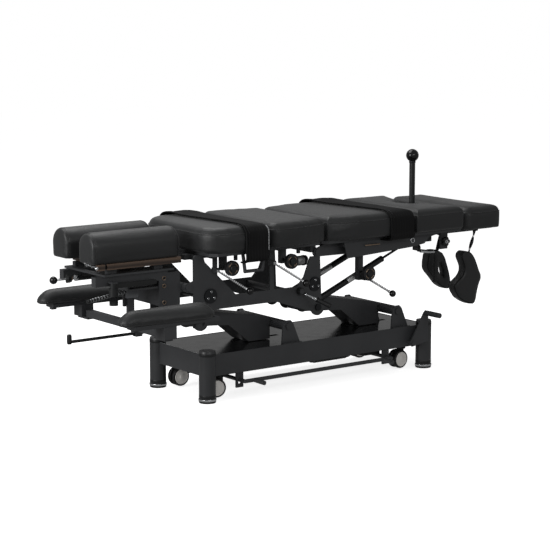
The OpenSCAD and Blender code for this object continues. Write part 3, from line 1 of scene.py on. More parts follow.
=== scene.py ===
# %% [markdown]
# # A chiropractic table, dressed over its frame
#
# The steel parts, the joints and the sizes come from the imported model, and every object
# here is made in the same metres. This file adds what the eye reads: powder coat, walnut,
# chrome and leatherette, and the soft pieces, each sewn or padded as an upholsterer would.

import math

import bmesh
import bpy
from mathutils import Matrix, Vector, noise
from mathutils.bvhtree import BVHTree


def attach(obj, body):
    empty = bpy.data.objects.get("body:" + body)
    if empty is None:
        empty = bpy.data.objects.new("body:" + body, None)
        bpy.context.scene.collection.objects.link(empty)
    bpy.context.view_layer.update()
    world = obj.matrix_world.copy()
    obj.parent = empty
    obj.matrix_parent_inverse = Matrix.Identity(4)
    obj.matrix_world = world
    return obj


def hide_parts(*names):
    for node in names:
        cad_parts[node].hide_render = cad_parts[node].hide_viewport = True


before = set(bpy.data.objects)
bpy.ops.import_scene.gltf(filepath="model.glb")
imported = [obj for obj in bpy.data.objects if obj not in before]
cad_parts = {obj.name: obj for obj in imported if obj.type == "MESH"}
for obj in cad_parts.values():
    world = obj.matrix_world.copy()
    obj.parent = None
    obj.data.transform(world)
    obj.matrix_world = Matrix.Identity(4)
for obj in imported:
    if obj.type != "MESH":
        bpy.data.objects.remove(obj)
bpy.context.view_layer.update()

# %% [markdown]
# ## Places along the table
#
# The table is long, so its places are easiest to give as stations: millimetres from the
# two head-end posts towards the foot end. One function turns a station, a side distance
# and a height into a point of the frame.

# %% Stations
MM = 0.001
HEAD_POSTS = -0.448


def at(station, side, height):
    return Vector((HEAD_POSTS + station * MM, side * MM, height * MM))


# Stations of the cushion joints, and the heights that all body cushions share
CHEST_S, LUMBAR_S, PELVIC_S, LEG_S, FOOT_S, END_S = -40, 251, 545, 987, 1263, 1471
PAD_LOW, SEAM_Z, CROWN_H = 590, 667, 21
HALF_W, WAIST_W = 265, 226

# %% [markdown]
# ## Camera
#
# The photograph looks down on the table a little, from its head end and its near side,
# through a long lens: the far rail is hardly shorter than the near one. The place and the
# lens were fitted to the four posts, the deck and the cushion edges.

# %% Camera
LENS_MM, SENSOR_MM, CLIP_END = 118.1, 36.0, 60
CAMERA_AT = Vector((-4.318, -5.829, 1.604))
CAMERA_LOOK = Vector((0.5885, 0.7927, -0.1590))


def in_scene(name, data):
    """An object that holds the data, linked to the scene."""
    holder = bpy.data.objects.new(name, data)
    bpy.context.scene.collection.objects.link(holder)
    return holder


camera_data = bpy.data.cameras.new("camera")
camera_data.lens = LENS_MM
camera_data.sensor_width = SENSOR_MM
camera_data.clip_end = CLIP_END
camera = in_scene("camera", camera_data)
camera.location = CAMERA_AT
camera.rotation_euler = CAMERA_LOOK.to_track_quat("-Z", "Y").to_euler()
bpy.context.scene.camera = camera

# %% [markdown]
# ## Small helpers
#
# Four jobs come back all the time: turning a hex colour into what a shader takes, adding a
# node with its settings and links, starting a material, and making a mesh from its points.

# %% Helpers for materials and meshes


def linear(hex_colour):
    """sRGB hex to the linear colour that a shader takes."""
    parts = [int(hex_colour[i:i + 2], 16) / 255 for i in (1, 3, 5)]
    return [c / 12.92 if c <= 0.04045 else ((c + 0.055) / 1.055) ** 2.4 for c in parts] + [1]


def add(tree, kind, settings=None, stops=(), **inputs):
    """Adds a node, sets its properties, and sets or links its inputs.

    An input goes by its name, with _ for a space, or by i and its number. The stops are
    those of a colour ramp: a position, and a hex colour or a grey value.
    """
    node = tree.nodes.new(kind)
    for key, value in (settings or {}).items():
        setattr(node, key, value)
    for key, value in inputs.items():
        numbered = key[0] == "i" and key[1:].isdigit()
        socket = node.inputs[int(key[1:]) if numbered else key.replace("_", " ")]
        if isinstance(value, bpy.types.NodeSocket):
            tree.links.new(value, socket)
        else:
            socket.default_value = value
    if stops:
        marks = node.color_ramp.elements
        while len(marks) < len(stops):
            marks.new(0.5)
        for mark, (place, colour) in zip(marks, stops):
            mark.position = place
            mark.color = linear(colour) if isinstance(colour, str) else (*[colour] * 3, 1)
    return node


def new_material(name):
    material = bpy.data.materials.new(name)
    material.use_nodes = True
    material.node_tree.nodes.clear()
    return material, material.node_tree


def shaded(piece, smooth=True):
    for face in piece.data.polygons:
        face.use_smooth = smooth
    return piece


def from_points(name, points, faces, material):
    mesh = bpy.data.meshes.new(name)
    mesh.from_pydata([tuple(p) for p in points], [], faces)
    mesh.materials.append(material)
    mesh.validate()
    return shaded(in_scene(name, mesh))


# %% [markdown]
# ## Studio
#
# A product photograph on white needs a paper floor, one large soft light over the table,
# and a second one at the head end, which draws the pale lines along the rounded cushion
# edges. Black things show their form by what they mirror, and in the photograph they
# mirror very little: the white around the table was kept out of its reflections. So the
# camera alone sees the white room, and the table sees a dim one with soft lights in it.

# %% Paper floor
FLOOR_HALF, PAPER_GLOW = 14, 0.8

floor_material, tree = new_material("white paper floor")
paper = add(tree, "ShaderNodeBsdfPrincipled", Base_Color=linear("#f4f4f4"), Roughness=0.9)
glow = add(tree, "ShaderNodeEmission", Color=linear("#ffffff"), Strength=PAPER_GLOW)
both_shaders = add(tree, "ShaderNodeAddShader", i0=paper.outputs[0], i1=glow.outputs[0])
add(tree, "ShaderNodeOutputMaterial", Surface=both_shaders.outputs[0])
corners = [(x * FLOOR_HALF, y * FLOOR_HALF, 0) for x, y in ((-1, -1), (1, -1), (1, 1), (-1, 1))]
floor = from_points("floor", corners, [(0, 1, 2, 3)], floor_material)
floor.visible_glossy = floor.visible_diffuse = False

# %% Soft lights and the room
TABLE_MIDDLE = Vector((0, 0, 0.5))
ROOM_GLOW, ROOM_SEEN = 0.22, 1.0
# Place and size in metres, and power in watts, of each softbox
SOFTBOXES = {"overhead softbox": ((-0.25, 0.9, 3.0), (2.6, 1.8), 48),
             "head end softbox": ((-3.6, -0.4, 1.5), (1.6, 1.6), 56),
             "near strip": ((-0.4, -3.6, 2.0), (3.0, 0.7), 22)}
for name, (place, size, power) in SOFTBOXES.items():
    light_data = bpy.data.lights.new(name, "AREA")
    light_data.shape = "RECTANGLE"
    light_data.size, light_data.size_y = size
    light_data.energy = power
    light = in_scene(name, light_data)
    light.location = place
    light.rotation_euler = (TABLE_MIDDLE - Vector(place)).to_track_quat("-Z", "Y").to_euler()

world = bpy.data.worlds.new("studio")
world.use_nodes = True
tree = world.node_tree
tree.nodes.clear()
dim = add(tree, "ShaderNodeBackground", Color=linear("#ffffff"), Strength=ROOM_GLOW)
white = add(tree, "ShaderNodeBackground", Color=linear("#ffffff"), Strength=ROOM_SEEN)
ray = add(tree, "ShaderNodeLightPath")
room = add(tree, "ShaderNodeMixShader", i0=ray.outputs["Is Camera Ray"], i1=dim.outputs[0],
           i2=white.outputs[0])
add(tree, "ShaderNodeOutputWorld", Surface=room.outputs[0])
bpy.context.scene.world = world
bpy.context.scene.view_settings.view_transform = "Standard"

# %% [markdown]
# ## Hard finishes
#
# Almost everything here is black, and still no two blacks are alike: satin powder coat
# scatters light over fine orange peel, the deck is sprayed gloss and mirrors the arms, and
# moulded plastic is matt with a fine spark texture. One recipe makes them all: a colour, a
# roughness that drifts in patches a few centimetres wide, and a fine relief. Every pattern
# is sized in real millimetres, and Object coordinates keep it still while the table moves.

# %% One recipe for paint, plastic and metal
DRIFT_MM = 160
# Width in mm of the patches in which the shine of each kind of surface drifts
PAINT_PATCH, METAL_PATCH, PLASTIC_PATCH = 45, 30, 70


def per_mm(size_mm):
    """Texture scale whose pattern repeats about every size_mm."""
    return 1 / (size_mm * MM)


def hard_finish(name, colours, patches, relief, **inputs):
    """Material of one hex colour, or of two that drift into each other.

    Patches are a size in mm, a detail and two stops of roughness. Relief is a size in mm,
    the detail and roughness of its noise, a strength and a depth in mm.
    """
    material, tree = new_material(name)
    where = add(tree, "ShaderNodeTexCoord").outputs["Object"]
    inputs["Base_Color"] = linear(colours[0])
    if len(colours) > 1:
        drift = add(tree, "ShaderNodeTexNoise", Vector=where, Scale=per_mm(DRIFT_MM), Detail=3.0)
        inputs["Base_Color"] = add(tree, "ShaderNodeValToRGB", i0=drift.outputs["Fac"],
                                   stops=list(zip((0.35, 0.7), colours))).outputs[0]
    patch_mm, detail, *stops = patches
    shine = add(tree, "ShaderNodeTexNoise", Vector=where, Scale=per_mm(patch_mm), Detail=detail)
    inputs["Roughness"] = add(tree, "ShaderNodeValToRGB", i0=shine.outputs["Fac"],
                              stops=stops).outputs[0]
    if relief:
        grain_mm, detail, rough, strength, depth_mm = relief
        grain = add(tree, "ShaderNodeTexNoise", Vector=where, Scale=per_mm(grain_mm),
                    Detail=detail, Roughness=rough)
        inputs["Normal"] = add(tree, "ShaderNodeBump", Height=grain.outputs["Fac"],
                               Strength=strength, Distance=depth_mm * MM).outputs[0]
    shader = add(tree, "ShaderNodeBsdfPrincipled", **inputs)
    add(tree, "ShaderNodeOutputMaterial", Surface=shader.outputs[0])
    return material


def painted(name, base, worn, roughness, peel_mm, peel_depth, coat=0.0):
    """Paint on steel: a base colour that drifts a little, and orange peel."""
    patches = (PAINT_PATCH, 4, (0.3, roughness - 0.05), (0.7, roughness + 0.07))
    return hard_finish(name, (base, worn), patches,
                       (peel_mm, 2, 0.5, 0.55, peel_depth), Coat_Weight=coat, Coat_Roughness=0.12)


def metal(name, colour, roughness, scratch_mm=None):
    """Bare or plated metal. Brushing is drawn a little coarser than real, to show."""
    scratches = (scratch_mm, 4, 0.7, 0.3, 0.05) if scratch_mm else None
    patches = (METAL_PATCH, 3, (0.3, roughness), (0.75, roughness + 0.1))
    return hard_finish(name, (colour,), patches, scratches, Metallic=1.0)


def plastic(name, colour, roughness, grain_mm=0.9, grain_depth=0.06):
    """Moulded plastic or rubber with the fine texture of its mould."""
    patches = (PLASTIC_PATCH, 2, (0.3, roughness - 0.04), (0.7, roughness + 0.06))
    return hard_finish(name, (colour,), patches, (grain_mm, 3, 0.5, 0.5, grain_depth))


# %% Paints, plastics and metals
# Thick powder that flowed and set: satin, over fine orange peel
powder_coat = painted("satin powder coat, graphite", "#3a3b3d", "#414244", 0.42, 2.2, 0.10)
# Sprayed and baked enamel: a smooth gloss that mirrors the lift arms
deck_gloss = painted("gloss stoving enamel, black", "#121314", "#161718", 0.2, 9, 0.05, 0.4)
# A thinner coat on round posts: narrower, brighter highlights
post_coat = painted("semi-gloss powder coat, black", "#37383a", "#3e3f40", 0.34, 2.6, 0.08)
# Moulded rubber: dull, and it swallows highlights
rubber = plastic("moulded rubber, black", "#141415", 0.62)
# Plastic from a spark-eroded mould: soft, wide highlights
abs_black = plastic("spark-textured ABS, black", "#18191a", 0.42)
# Glass fibres roughen this nylon, so it is a little greyer and duller
nylon_black = plastic("glass-filled nylon, black", "#1c1c1e", 0.5, 1.4)
# Unpainted polypropylene: pale and waxy under the dark base
hub_grey = plastic("grey polypropylene", "#f0ede8", 0.48, 1.2, 0.04)
# Polished resin: one small sharp highlight on a ball
phenolic = plastic("polished phenolic ball, black", "#0d0d0e", 0.16, 3.0, 0.01)
# Polished and plated: it mirrors the room
chrome = metal("bright chrome plate", "#e2e4e6", 0.1)
# Fresh zinc: the crests of a thread read as bright dots
thread_zinc = metal("bright zinc thread", "#f2f3f4", 0.32)
# Zinc that has been handled: a softer mirror with fine scratches
zinc = metal("zinc-plated steel", "#a9abad", 0.3, 0.6)
# Drawn tube, brushed: a wide pale streak
aluminium = metal("brushed aluminium", "#eceded", 0.45, 0.35)
# Brass under lacquer, tarnished a little: warm rather than yellow
brass = metal("lacquered brass", "#b09a86", 0.4)
# Oxide on steel: a dark and oily mirror
dark_steel = metal("black-oxide steel", "#3b3c3e", 0.35, 0.8)
# Blasted casting: grainy, with hardly a mirror left
cast_grey = metal("blasted cast aluminium", "#85878a", 0.5, 0.9)

# %% [markdown]
# ## Walnut board ends
#
# The boards under the head cushions are veneered in a dark wood whose figure runs along
# their length. Stretched noise bends a wave texture into bands of figure about 25 mm apart,
# and a finer, longer noise makes the pores that catch the light.

# %% Walnut
FIGURE_MM, WANDER_MM, PORE_MM = 25.13, 40, 0.8
STRETCH_FIGURE, STRETCH_PORES = (0.07, 1, 1), (0.04, 1, 1)
WAVE_RADIANS = 20


def wave_scale(period_mm):
    """Scale of a wave texture, which turns through WAVE_RADIANS for each unit of it."""
    return math.tau * per_mm(period_mm) / WAVE_RADIANS


def walnut_finish():
    material, tree = new_material("dark walnut veneer, satin lacquer")
    where = add(tree, "ShaderNodeTexCoord").outputs["Object"]
    along = add(tree, "ShaderNodeMapping", i0=where, Scale=STRETCH_FIGURE).outputs[0]
    drift = add(tree, "ShaderNodeTexNoise", Vector=along, Scale=per_mm(WANDER_MM), Detail=3.0)
    bend = add(tree, "ShaderNodeMixRGB", {"blend_type": "ADD"}, i0=0.02, i1=along,
               i2=drift.outputs["Color"])
    bands = add(tree, "ShaderNodeTexWave", {"bands_direction": "Z"}, Vector=bend.outputs[0],
                Scale=wave_scale(FIGURE_MM), Distortion=3.0, Detail=3.0, Detail_Scale=1.5)
    colour = add(tree, "ShaderNodeValToRGB", i0=bands.outputs["Fac"],
                 stops=[(0.0, "#33271f"), (0.55, "#4d3d32"), (1.0, "#665345")])
    lengthwise = add(tree, "ShaderNodeMapping", i0=where, Scale=STRETCH_PORES).outputs[0]
    pores = add(tree, "ShaderNodeTexNoise", Vector=lengthwise, Scale=per_mm(PORE_MM), Detail=2.0)
    relief = add(tree, "ShaderNodeBump", Height=pores.outputs["Fac"], Strength=0.5,
                 Distance=0.15 * MM)
    shader = add(tree, "ShaderNodeBsdfPrincipled", Base_Color=colour.outputs[0], Roughness=0.45,
                 Normal=relief.outputs[0])
    add(tree, "ShaderNodeOutputMaterial", Surface=shader.outputs[0])
    return material


# Brown with a low satin, so the figure shows only up close
walnut = walnut_finish()

# %% [markdown]
# ## Leatherette
#
# The covers are vinyl pressed with a leather grain: small rounded cells, a millimetre or
# two across, with soft creases between them. A Voronoi texture gives the cells. The real
# grain is finer than one pixel here, so it is drawn about twice as coarse, and shallow.
# A faint sheen keeps the upholstery greyer than the frame where light grazes it.

# %% Leatherette
CELL_MM, WRINKLE_MM, FADE_MM = 2.6, 26, 210


def leatherette_finish(name, dark, light, roughness):
    material, tree = new_material(name)
    where = add(tree, "ShaderNodeTexCoord").outputs["Object"]
    cells = add(tree, "ShaderNodeTexVoronoi", {"feature": "DISTANCE_TO_EDGE"}, Vector=where,
                Scale=per_mm(CELL_MM), Randomness=0.9)
    crease = add(tree, "ShaderNodeValToRGB", i0=cells.outputs["Distance"],
                 stops=[(0.0, 0.0), (0.22, 1.0)])
    wrinkles = add(tree, "ShaderNodeTexNoise", Vector=where, Scale=per_mm(WRINKLE_MM),
                   Detail=4.0, Roughness=0.6).outputs["Fac"]
    height = add(tree, "ShaderNodeMixRGB", i0=0.35, i1=crease.outputs[0], i2=wrinkles)
    fade = add(tree, "ShaderNodeTexNoise", Vector=where, Scale=per_mm(FADE_MM), Detail=3.0)
    tone = add(tree, "ShaderNodeValToRGB", i0=fade.outputs["Fac"],
               stops=[(0.3, dark), (0.72, light)])
    shine = add(tree, "ShaderNodeValToRGB", i0=wrinkles,
                stops=[(0.3, roughness - 0.04), (0.7, roughness + 0.07)])
    relief = add(tree, "ShaderNodeBump", Height=height.outputs[0], Strength=0.32,
                 Distance=0.25 * MM)
    shader = add(tree, "ShaderNodeBsdfPrincipled", Base_Color=tone.outputs[0],
                 Roughness=shine.outputs[0], Normal=relief.outputs[0], Sheen_Weight=0.12,
                 Sheen_Roughness=0.5)
    add(tree, "ShaderNodeOutputMaterial", Surface=shader.outputs[0])
    return material


# The cover: soft grey highlights along every rounded edge
leatherette = leatherette_finish("leatherette, charcoal", "#1d1e1f", "#222324", 0.46)
# The cord sewn into the seams: drawn darker, as painted shade, because it lies in the fold
welt = leatherette_finish("leatherette welt, darkened as painted fold shade", "#161718", "#1b1c1d", 0.42)
# Sewing thread: grey dashes in a row
thread = plastic("bonded nylon thread, grey", "#55565a", 0.6)
# Bare vinyl piping: a thin pale line; it also draws the painted highlight on the deck's head edge
pale_piping_and_highlight = plastic("vinyl piping and painted highlight, pale grey", "#a8aaac", 0.5)

# %% [markdown]
# ## Webbing
#
# The straps and the cuff tapes are woven. Two wave textures multiplied give the little
# mounds of a plain weave. Real picks lie about 2 mm apart, which is half a pixel here, so
# they are drawn five to seven times as coarse, and a fine noise stands for the fuzz.

# %% Webbing and lining
FUZZ_MM = 0.7


def weave_finish(name, dark, light, pick_mm):
    """A plain weave whose mounds are pick_mm apart both ways."""
    material, tree = new_material(name)
    where = add(tree, "ShaderNodeTexCoord").outputs["Object"]
    across, along = (add(tree, "ShaderNodeTexWave", {"bands_direction": direction}, Vector=where,
                         Scale=wave_scale(pick_mm), Distortion=0.6, Detail=1.0).outputs["Fac"]
                     for direction in "XY")
    mounds = add(tree, "ShaderNodeMixRGB", {"blend_type": "MULTIPLY"}, i0=1.0, i1=across,
                 i2=along).outputs[0]
    colour = add(tree, "ShaderNodeValToRGB", i0=mounds, stops=[(0.1, dark), (0.8, light)])
    fuzz = add(tree, "ShaderNodeTexNoise", Vector=where, Scale=per_mm(FUZZ_MM), Detail=2.0)
    height = add(tree, "ShaderNodeMixRGB", i0=0.3, i1=mounds, i2=fuzz.outputs["Fac"])
    relief = add(tree, "ShaderNodeBump", Height=height.outputs[0], Strength=0.3,
                 Distance=0.3 * MM)
    shader = add(tree, "ShaderNodeBsdfPrincipled", Base_Color=colour.outputs[0], Roughness=0.7,
                 Specular_IOR_Level=0.22, Normal=relief.outputs[0])
    add(tree, "ShaderNodeOutputMaterial", Surface=shader.outputs[0])
    return material


# Tape of the straps: deep black and matt
webbing = weave_finish("polypropylene webbing, black", "#0c0c0d", "#151516", 13.82)
# Lining of the cuff tapes: a soft grey
soft_knit = weave_finish("brushed lining, grey", "#3a3b3e", "#57585c", 10.05)

# %% [markdown]
# ## The frame in its finishes
#
# Each carried-over steel or plastic part takes one finish over all its faces. Small parts
# of another finish on the same solid, such as the chrome shaft of a plastic knob, are
# dressed by thin sleeves further down.

# %% Dress the frame
FINISH_OF = {
    powder_coat: ["base_frame", "caster_carriage", "foot_bar", "caster_pedal",
                  "head_lift_arm", "foot_lift_arm", "centre_frame", "chest_board",
                  "lumbar_board", "pelvic_board", "caudal_frame", "foot_slide", "head_frame",
                  "head_tray", "armrest_carrier", "armrest_near", "armrest_far"],
    post_coat: ["leg_posts", "lower_pivot_shafts"],
    deck_gloss: ["base_deck"],
    rubber: ["levelling_feet", "caster_wheels_1", "caster_wheels_2", "caster_wheels_3",
             "caster_wheels_4"],
    abs_black: ["lift_drive", "strut_bodies", "traction_handle", "clamp_knob", "head_lever",
                "pull_knob", "flexion_lever", "tiller", "tilt_rod"],
    nylon_black: ["caster_yoke_1", "caster_yoke_2", "caster_yoke_3", "caster_yoke_4",
                  "chest_wheel", "lumbar_wheel", "pelvic_wheel"],
    chrome: ["lift_rod", "chest_lever", "lumbar_lever", "pelvic_lever"],
    dark_steel: ["upper_pivot_shafts", "strut_rods"],
    walnut: ["head_boards"],
}
for finish, nodes in FINISH_OF.items():
    for node in nodes:
        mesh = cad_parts[node].data
        mesh.materials.clear()
        mesh.materials.append(finish)
print("dressed", sum(len(nodes) for nodes in FINISH_OF.values()), "nodes")

# %% [markdown]
# ## Padding
#
# A foam cushion under a tight cover isn't a block: the cover pulls its edges in, and the
# foam pushes the faces out between them. So each cushion starts as a plain form that is a
# little too small. It is remeshed evenly, and a short cloth simulation with air pressure
# lets the cover swell. No point may move further than a few millimetres, because this foam
# is firm, and the face that lies on the board stays flat.

# %% Modifiers made into mesh


def evaluated(piece):
    """The mesh that an object's curve or modifiers make."""
    graph = bpy.context.evaluated_depsgraph_get()
    return bpy.data.meshes.new_from_object(piece.evaluated_get(graph))


def applied(piece):
    """Turns the piece's modifiers into its mesh."""
    mesh = evaluated(piece)
    piece.modifiers.clear()
    piece.data = mesh
    return piece


def modified(piece, kind, **settings):
    """Adds one modifier with its settings, and applies it."""
    modifier = piece.modifiers.new(kind.lower(), kind)
    for key, value in settings.items():
        setattr(modifier, key, value)
    return applied(piece)


def evenly_meshed(piece, voxel_mm, rounds):
    modified(piece, "REMESH", mode="VOXEL", voxel_size=voxel_mm * MM)
    return modified(piece, "SMOOTH", iterations=rounds)


def subdivided(piece):
    """One level of subdivision, smooth shaded."""
    return shaded(modified(piece, "SUBSURF", levels=1, render_levels=1))


# %% Covers that swell and crease
PRESSURE, CLOTH_FRAMES = 4.0, 14
EVEN_FACTOR, EVEN_ROUNDS = 0.5, 4
LEAST_PULL = 0.01


def swollen(piece, cap_mm, flat_below):
    """Blows the cover up by at most cap_mm, and keeps what is under flat_below in place."""
    scene = bpy.context.scene
    rest = [v.co.copy() for v in piece.data.vertices]
    cloth = piece.modifiers.new("cover", "CLOTH")
    cloth.settings.use_pressure = True
    cloth.settings.uniform_pressure_force = PRESSURE
    cloth.settings.effector_weights.gravity = 0
    cloth.point_cache.frame_start = 1
    cloth.point_cache.frame_end = CLOTH_FRAMES
    for step in range(1, CLOTH_FRAMES + 1):
        scene.frame_set(step)
    applied(piece)
    scene.frame_set(1)
    for vertex, old in zip(piece.data.vertices, rest):
        move = vertex.co - old
        if move.length > cap_mm * MM:
            move *= cap_mm * MM / move.length
        if flat_below is not None and old.z < flat_below * MM:
            move = Vector((0, 0, 0))
        vertex.co = old + move
    return modified(piece, "SMOOTH", factor=EVEN_FACTOR, iterations=EVEN_ROUNDS)


def creased(piece, distance, depth_mm, width_mm):
    """Draws the cover in along a seam: distance gives each point's way to it in mm."""
    mesh = piece.data
    moves = []
    for vertex in mesh.vertices:
        away = distance(vertex.co / MM)
        pull = depth_mm * math.exp(-(away / width_mm) ** 2)
        moves.append(vertex.normal * pull * MM if pull > LEAST_PULL else None)
    for vertex, move in zip(mesh.vertices, moves):
        if move:
            vertex.co -= move
    mesh.update()
    return piece


# %% Outlines and forms
LAYER_MM = 6


def ring_solid(name, rings, material):
    """Closed form through rings of equal length, its first and last ring filled."""
    count = len(rings[0])
    points = [p for ring in rings for p in ring]
    faces = [(k * count + i, k * count + (i + 1) % count, (k + 1) * count + (i + 1) % count,
              (k + 1) * count + i) for k in range(len(rings) - 1) for i in range(count)]
    for first in (0, (len(rings) - 1) * count):
        points.append(sum((Vector(points[first + i]) for i in range(count)), Vector()) / count)
        faces += [(len(points) - 1, first + i, first + (i + 1) % count) for i in range(count)]
    piece = from_points(name, points, faces, material)
    shell = bmesh.new()
    shell.from_mesh(piece.data)
    bmesh.ops.recalc_face_normals(shell, faces=shell.faces)
    shell.to_mesh(piece.data)
    shell.free()
    return piece


def arc(middle, radius, start, end, steps):
    """Points round a corner, angles in degrees."""
    return [(middle[0] + radius * math.cos(math.radians(start + (end - start) * i / steps)),
             middle[1] + radius * math.sin(math.radians(start + (end - start) * i / steps)))
            for i in range(steps + 1)]


def even_steps(points, spacing):
    """The same closed line with points about spacing apart."""
    line = [Vector(p) for p in points]
    line.append(line[0])
    lengths = [(b - a).length for a, b in zip(line, line[1:])]
    count = round(sum(lengths) / spacing)
    result, piece_at, passed = [], 0, 0.0
    for i in range(count):
        want = sum(lengths) * i / count
        while passed + lengths[piece_at] < want:
            passed += lengths[piece_at]
            piece_at += 1
        share = (want - passed) / lengths[piece_at]
        result.append(line[piece_at].lerp(line[piece_at + 1], share))
    return result


def even_range(low, high, step):
    count = max(1, round((high - low) / step))
    return [low + (high - low) * i / count for i in range(count + 1)]


def mirrored(half):
    """The far half of an outline and its mirror image."""
    return half + [(x, -y) for x, y in reversed(half)]


def slab_between(name, outline, low_y, high_y, material):
    """Outline of stations and heights, between two side distances."""
    rings = [[at(s, y, z) for s, z in outline] for y in even_range(low_y, high_y, LAYER_MM)]
    return ring_solid(name, rings, material)


# %% [markdown]
# ## Tubes and turned parts
#
# Welts, cords and rods are round bars along a path, so a bevelled curve makes them. Knobs,
# caps, hubs and screws are turned parts: one outline swept round an axis. Both become plain
# meshes at once, so that several of them can be joined into one piece.

# %% Tubes, turned parts and joined pieces
TUBE_ROUND, BEVEL_MM = 3, 0.35
HEX = 6


def tube(name, points, radius_mm, material, closed=False):
    """Round bar through points of the frame."""
    curve = bpy.data.curves.new(name, "CURVE")
    curve.dimensions = "3D"
    curve.bevel_depth = radius_mm * MM
    curve.bevel_resolution = TUBE_ROUND
    curve.use_fill_caps = not closed
    spline = curve.splines.new("POLY")
    spline.points.add(len(points) - 1)
    for target, point in zip(spline.points, points):
        target.co = (*point, 1)
    spline.use_cyclic_u = closed
    holder = in_scene(name, curve)
    mesh = evaluated(holder)
    bpy.data.objects.remove(holder)
    mesh.materials.clear()
    mesh.materials.append(material)
    return shaded(in_scene(name, mesh))


def edged(piece, width_mm=BEVEL_MM, smooth=True):
    """Narrow bevels along the sharp edges, so that each one catches a line of light."""
    shaded(piece, False)
    modified(piece, "BEVEL", width=width_mm * MM, segments=2, limit_method="ANGLE")
    return shaded(piece, smooth)


def circle(middle, axis, radius_mm, steps, height_mm=0):
    """Points of a circle round an axis, at a height along it."""
    turn = Vector(axis).to_track_quat("Z", "Y").to_matrix()
    angles = [2 * math.pi * i / steps for i in range(steps)]
    return [Vector(middle) + turn @ Vector((radius_mm * MM * math.cos(angle),
            radius_mm * MM * math.sin(angle), height_mm * MM)) for angle in angles]


def turned(name, outline, place, axis, material, sides=32):
    """Outline of radius and height in mm, swept round an axis through a place."""
    rings = [circle(place, axis, radius, sides, height) for radius, height in outline]
    return edged(ring_solid(name, rings, material))


def sleeve(start, end, radius_mm, finish, sides=28):
    """Plain round bar between two points, with chamfered ends."""
    axis = Vector(end) - Vector(start)
    return turned("sleeve", [(radius_mm, 0), (radius_mm, axis.length / MM)], start, axis,
                  finish, sides)


def joined(name, pieces):
    """One object of several finished pieces, each with its own finish."""
    whole, finishes = bmesh.new(), []
    for piece in pieces:
        first = len(whole.faces)
        whole.from_mesh(piece.data)
        whole.faces.ensure_lookup_table()
        for face in whole.faces[first:]:
            finish = piece.data.materials[face.material_index]
            if finish not in finishes:
                finishes.append(finish)
            face.material_index = finishes.index(finish)
        bpy.data.objects.remove(piece)
    mesh = bpy.data.meshes.new(name)
    whole.to_mesh(mesh)
    whole.free()
    for finish in finishes:
        mesh.materials.append(finish)
    return in_scene(name, mesh)


def on_body(piece, body, slot, *nodes):
    """Last words on a finished piece: what carries it and what it stands for. The slot is not
    used.
    """
    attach(piece, body)
    if nodes:
        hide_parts(*nodes)
    return piece


# %% [markdown]
# ## Repeats along a path
#
# What comes again and again along a line, such as stitches and the crests of a thread, is
# one Geometry Nodes tree. It sets a small cylinder at even steps and turns it to the path,
# and its inputs are the sizes that a maker would ask for: spacing, length and radius.

# %% Repeats along a path


def repeat_tree():
    """Cylinders at even steps along a line of edges."""
    tree = bpy.data.node_groups.new("repeat along a path", "GeometryNodeTree")
    face = tree.interface
    face.new_socket("Path", in_out="INPUT", socket_type="NodeSocketGeometry")
    for label, start in (("Spacing", 0.004), ("Length", 0.003), ("Radius", 0.0005)):
        socket = face.new_socket(label, in_out="INPUT", socket_type="NodeSocketFloat")
        socket.default_value = start
    sides = face.new_socket("Sides", in_out="INPUT", socket_type="NodeSocketInt")
    sides.default_value = 6
    face.new_socket("Finish", in_out="INPUT", socket_type="NodeSocketMaterial")
    face.new_socket("Repeats", in_out="OUTPUT", socket_type="NodeSocketGeometry")
    source = tree.nodes.new("NodeGroupInput").outputs
    line = add(tree, "GeometryNodeMeshToCurve", i0=source["Path"])
    steps = add(tree, "GeometryNodeCurveToPoints", {"mode": "LENGTH"}, Curve=line.outputs[0],
                Length=source["Spacing"])
    item = add(tree, "GeometryNodeMeshCylinder", Vertices=source["Sides"],
               Radius=source["Radius"], Depth=source["Length"])
    placed = add(tree, "GeometryNodeInstanceOnPoints", Points=steps.outputs["Points"],
                 Instance=item.outputs["Mesh"], Rotation=steps.outputs["Rotation"])
    real = add(tree, "GeometryNodeRealizeInstances", Geometry=placed.outputs[0])
    coloured = add(tree, "GeometryNodeSetMaterial", Geometry=real.outputs[0],
                   Material=source["Finish"])
    result = tree.nodes.new("NodeGroupOutput")
    tree.links.new(coloured.outputs[0], result.inputs[0])
    return tree


repeats = repeat_tree()
SOCKET = {item.name: item.identifier for item in repeats.interface.items_tree}


def repeated(name, points, spacing_mm, length_mm, radius_mm, finish, sides=6):
    """A plain mesh of cylinders along an open path."""
    mesh = bpy.data.meshes.new(name)
    edges = [(i, i + 1) for i in range(len(points) - 1)]
    mesh.from_pydata([tuple(p) for p in points], edges, [])
    piece = in_scene(name, mesh)
    nodes = piece.modifiers.new("repeats", "NODES")
    nodes.node_group = repeats
    settings = {"Spacing": spacing_mm * MM, "Length": length_mm * MM, "Radius": radius_mm * MM,
                "Sides": sides, "Finish": finish}
    for label, value in settings.items():
        nodes[SOCKET[label]] = value
    applied(piece)
    piece.data.materials.clear()
    piece.data.materials.append(finish)
    return piece


# %% [markdown]
# ## Body cushions
#
# Five cushions make the top. Each has a flat underside, nearly upright sides and a crowned
# top, with a sewn welt where the top panel meets the side band. The chest cushion is
# rounded off at the head end, the lumbar and pelvic cushions narrow towards their joint,
# and the leg cushion has a bay for the tiller. One profile serves them all: how far the
# cover draws in from the outline at each height.

# %% Outlines of the body cushions
GAP_HALF = 1
CHEST_CORNER, LUMBAR_CORNER, SEAM_CORNER, END_CORNER = 110, 45, 9, 12
WAIST_FROM, WAIST_TO, WAIST_STEPS = 340, 720, 12
NOTCH_R, NOTCH_STEPS, TILLER_S = 62, 10, 1189
CORNER_STEPS = 8


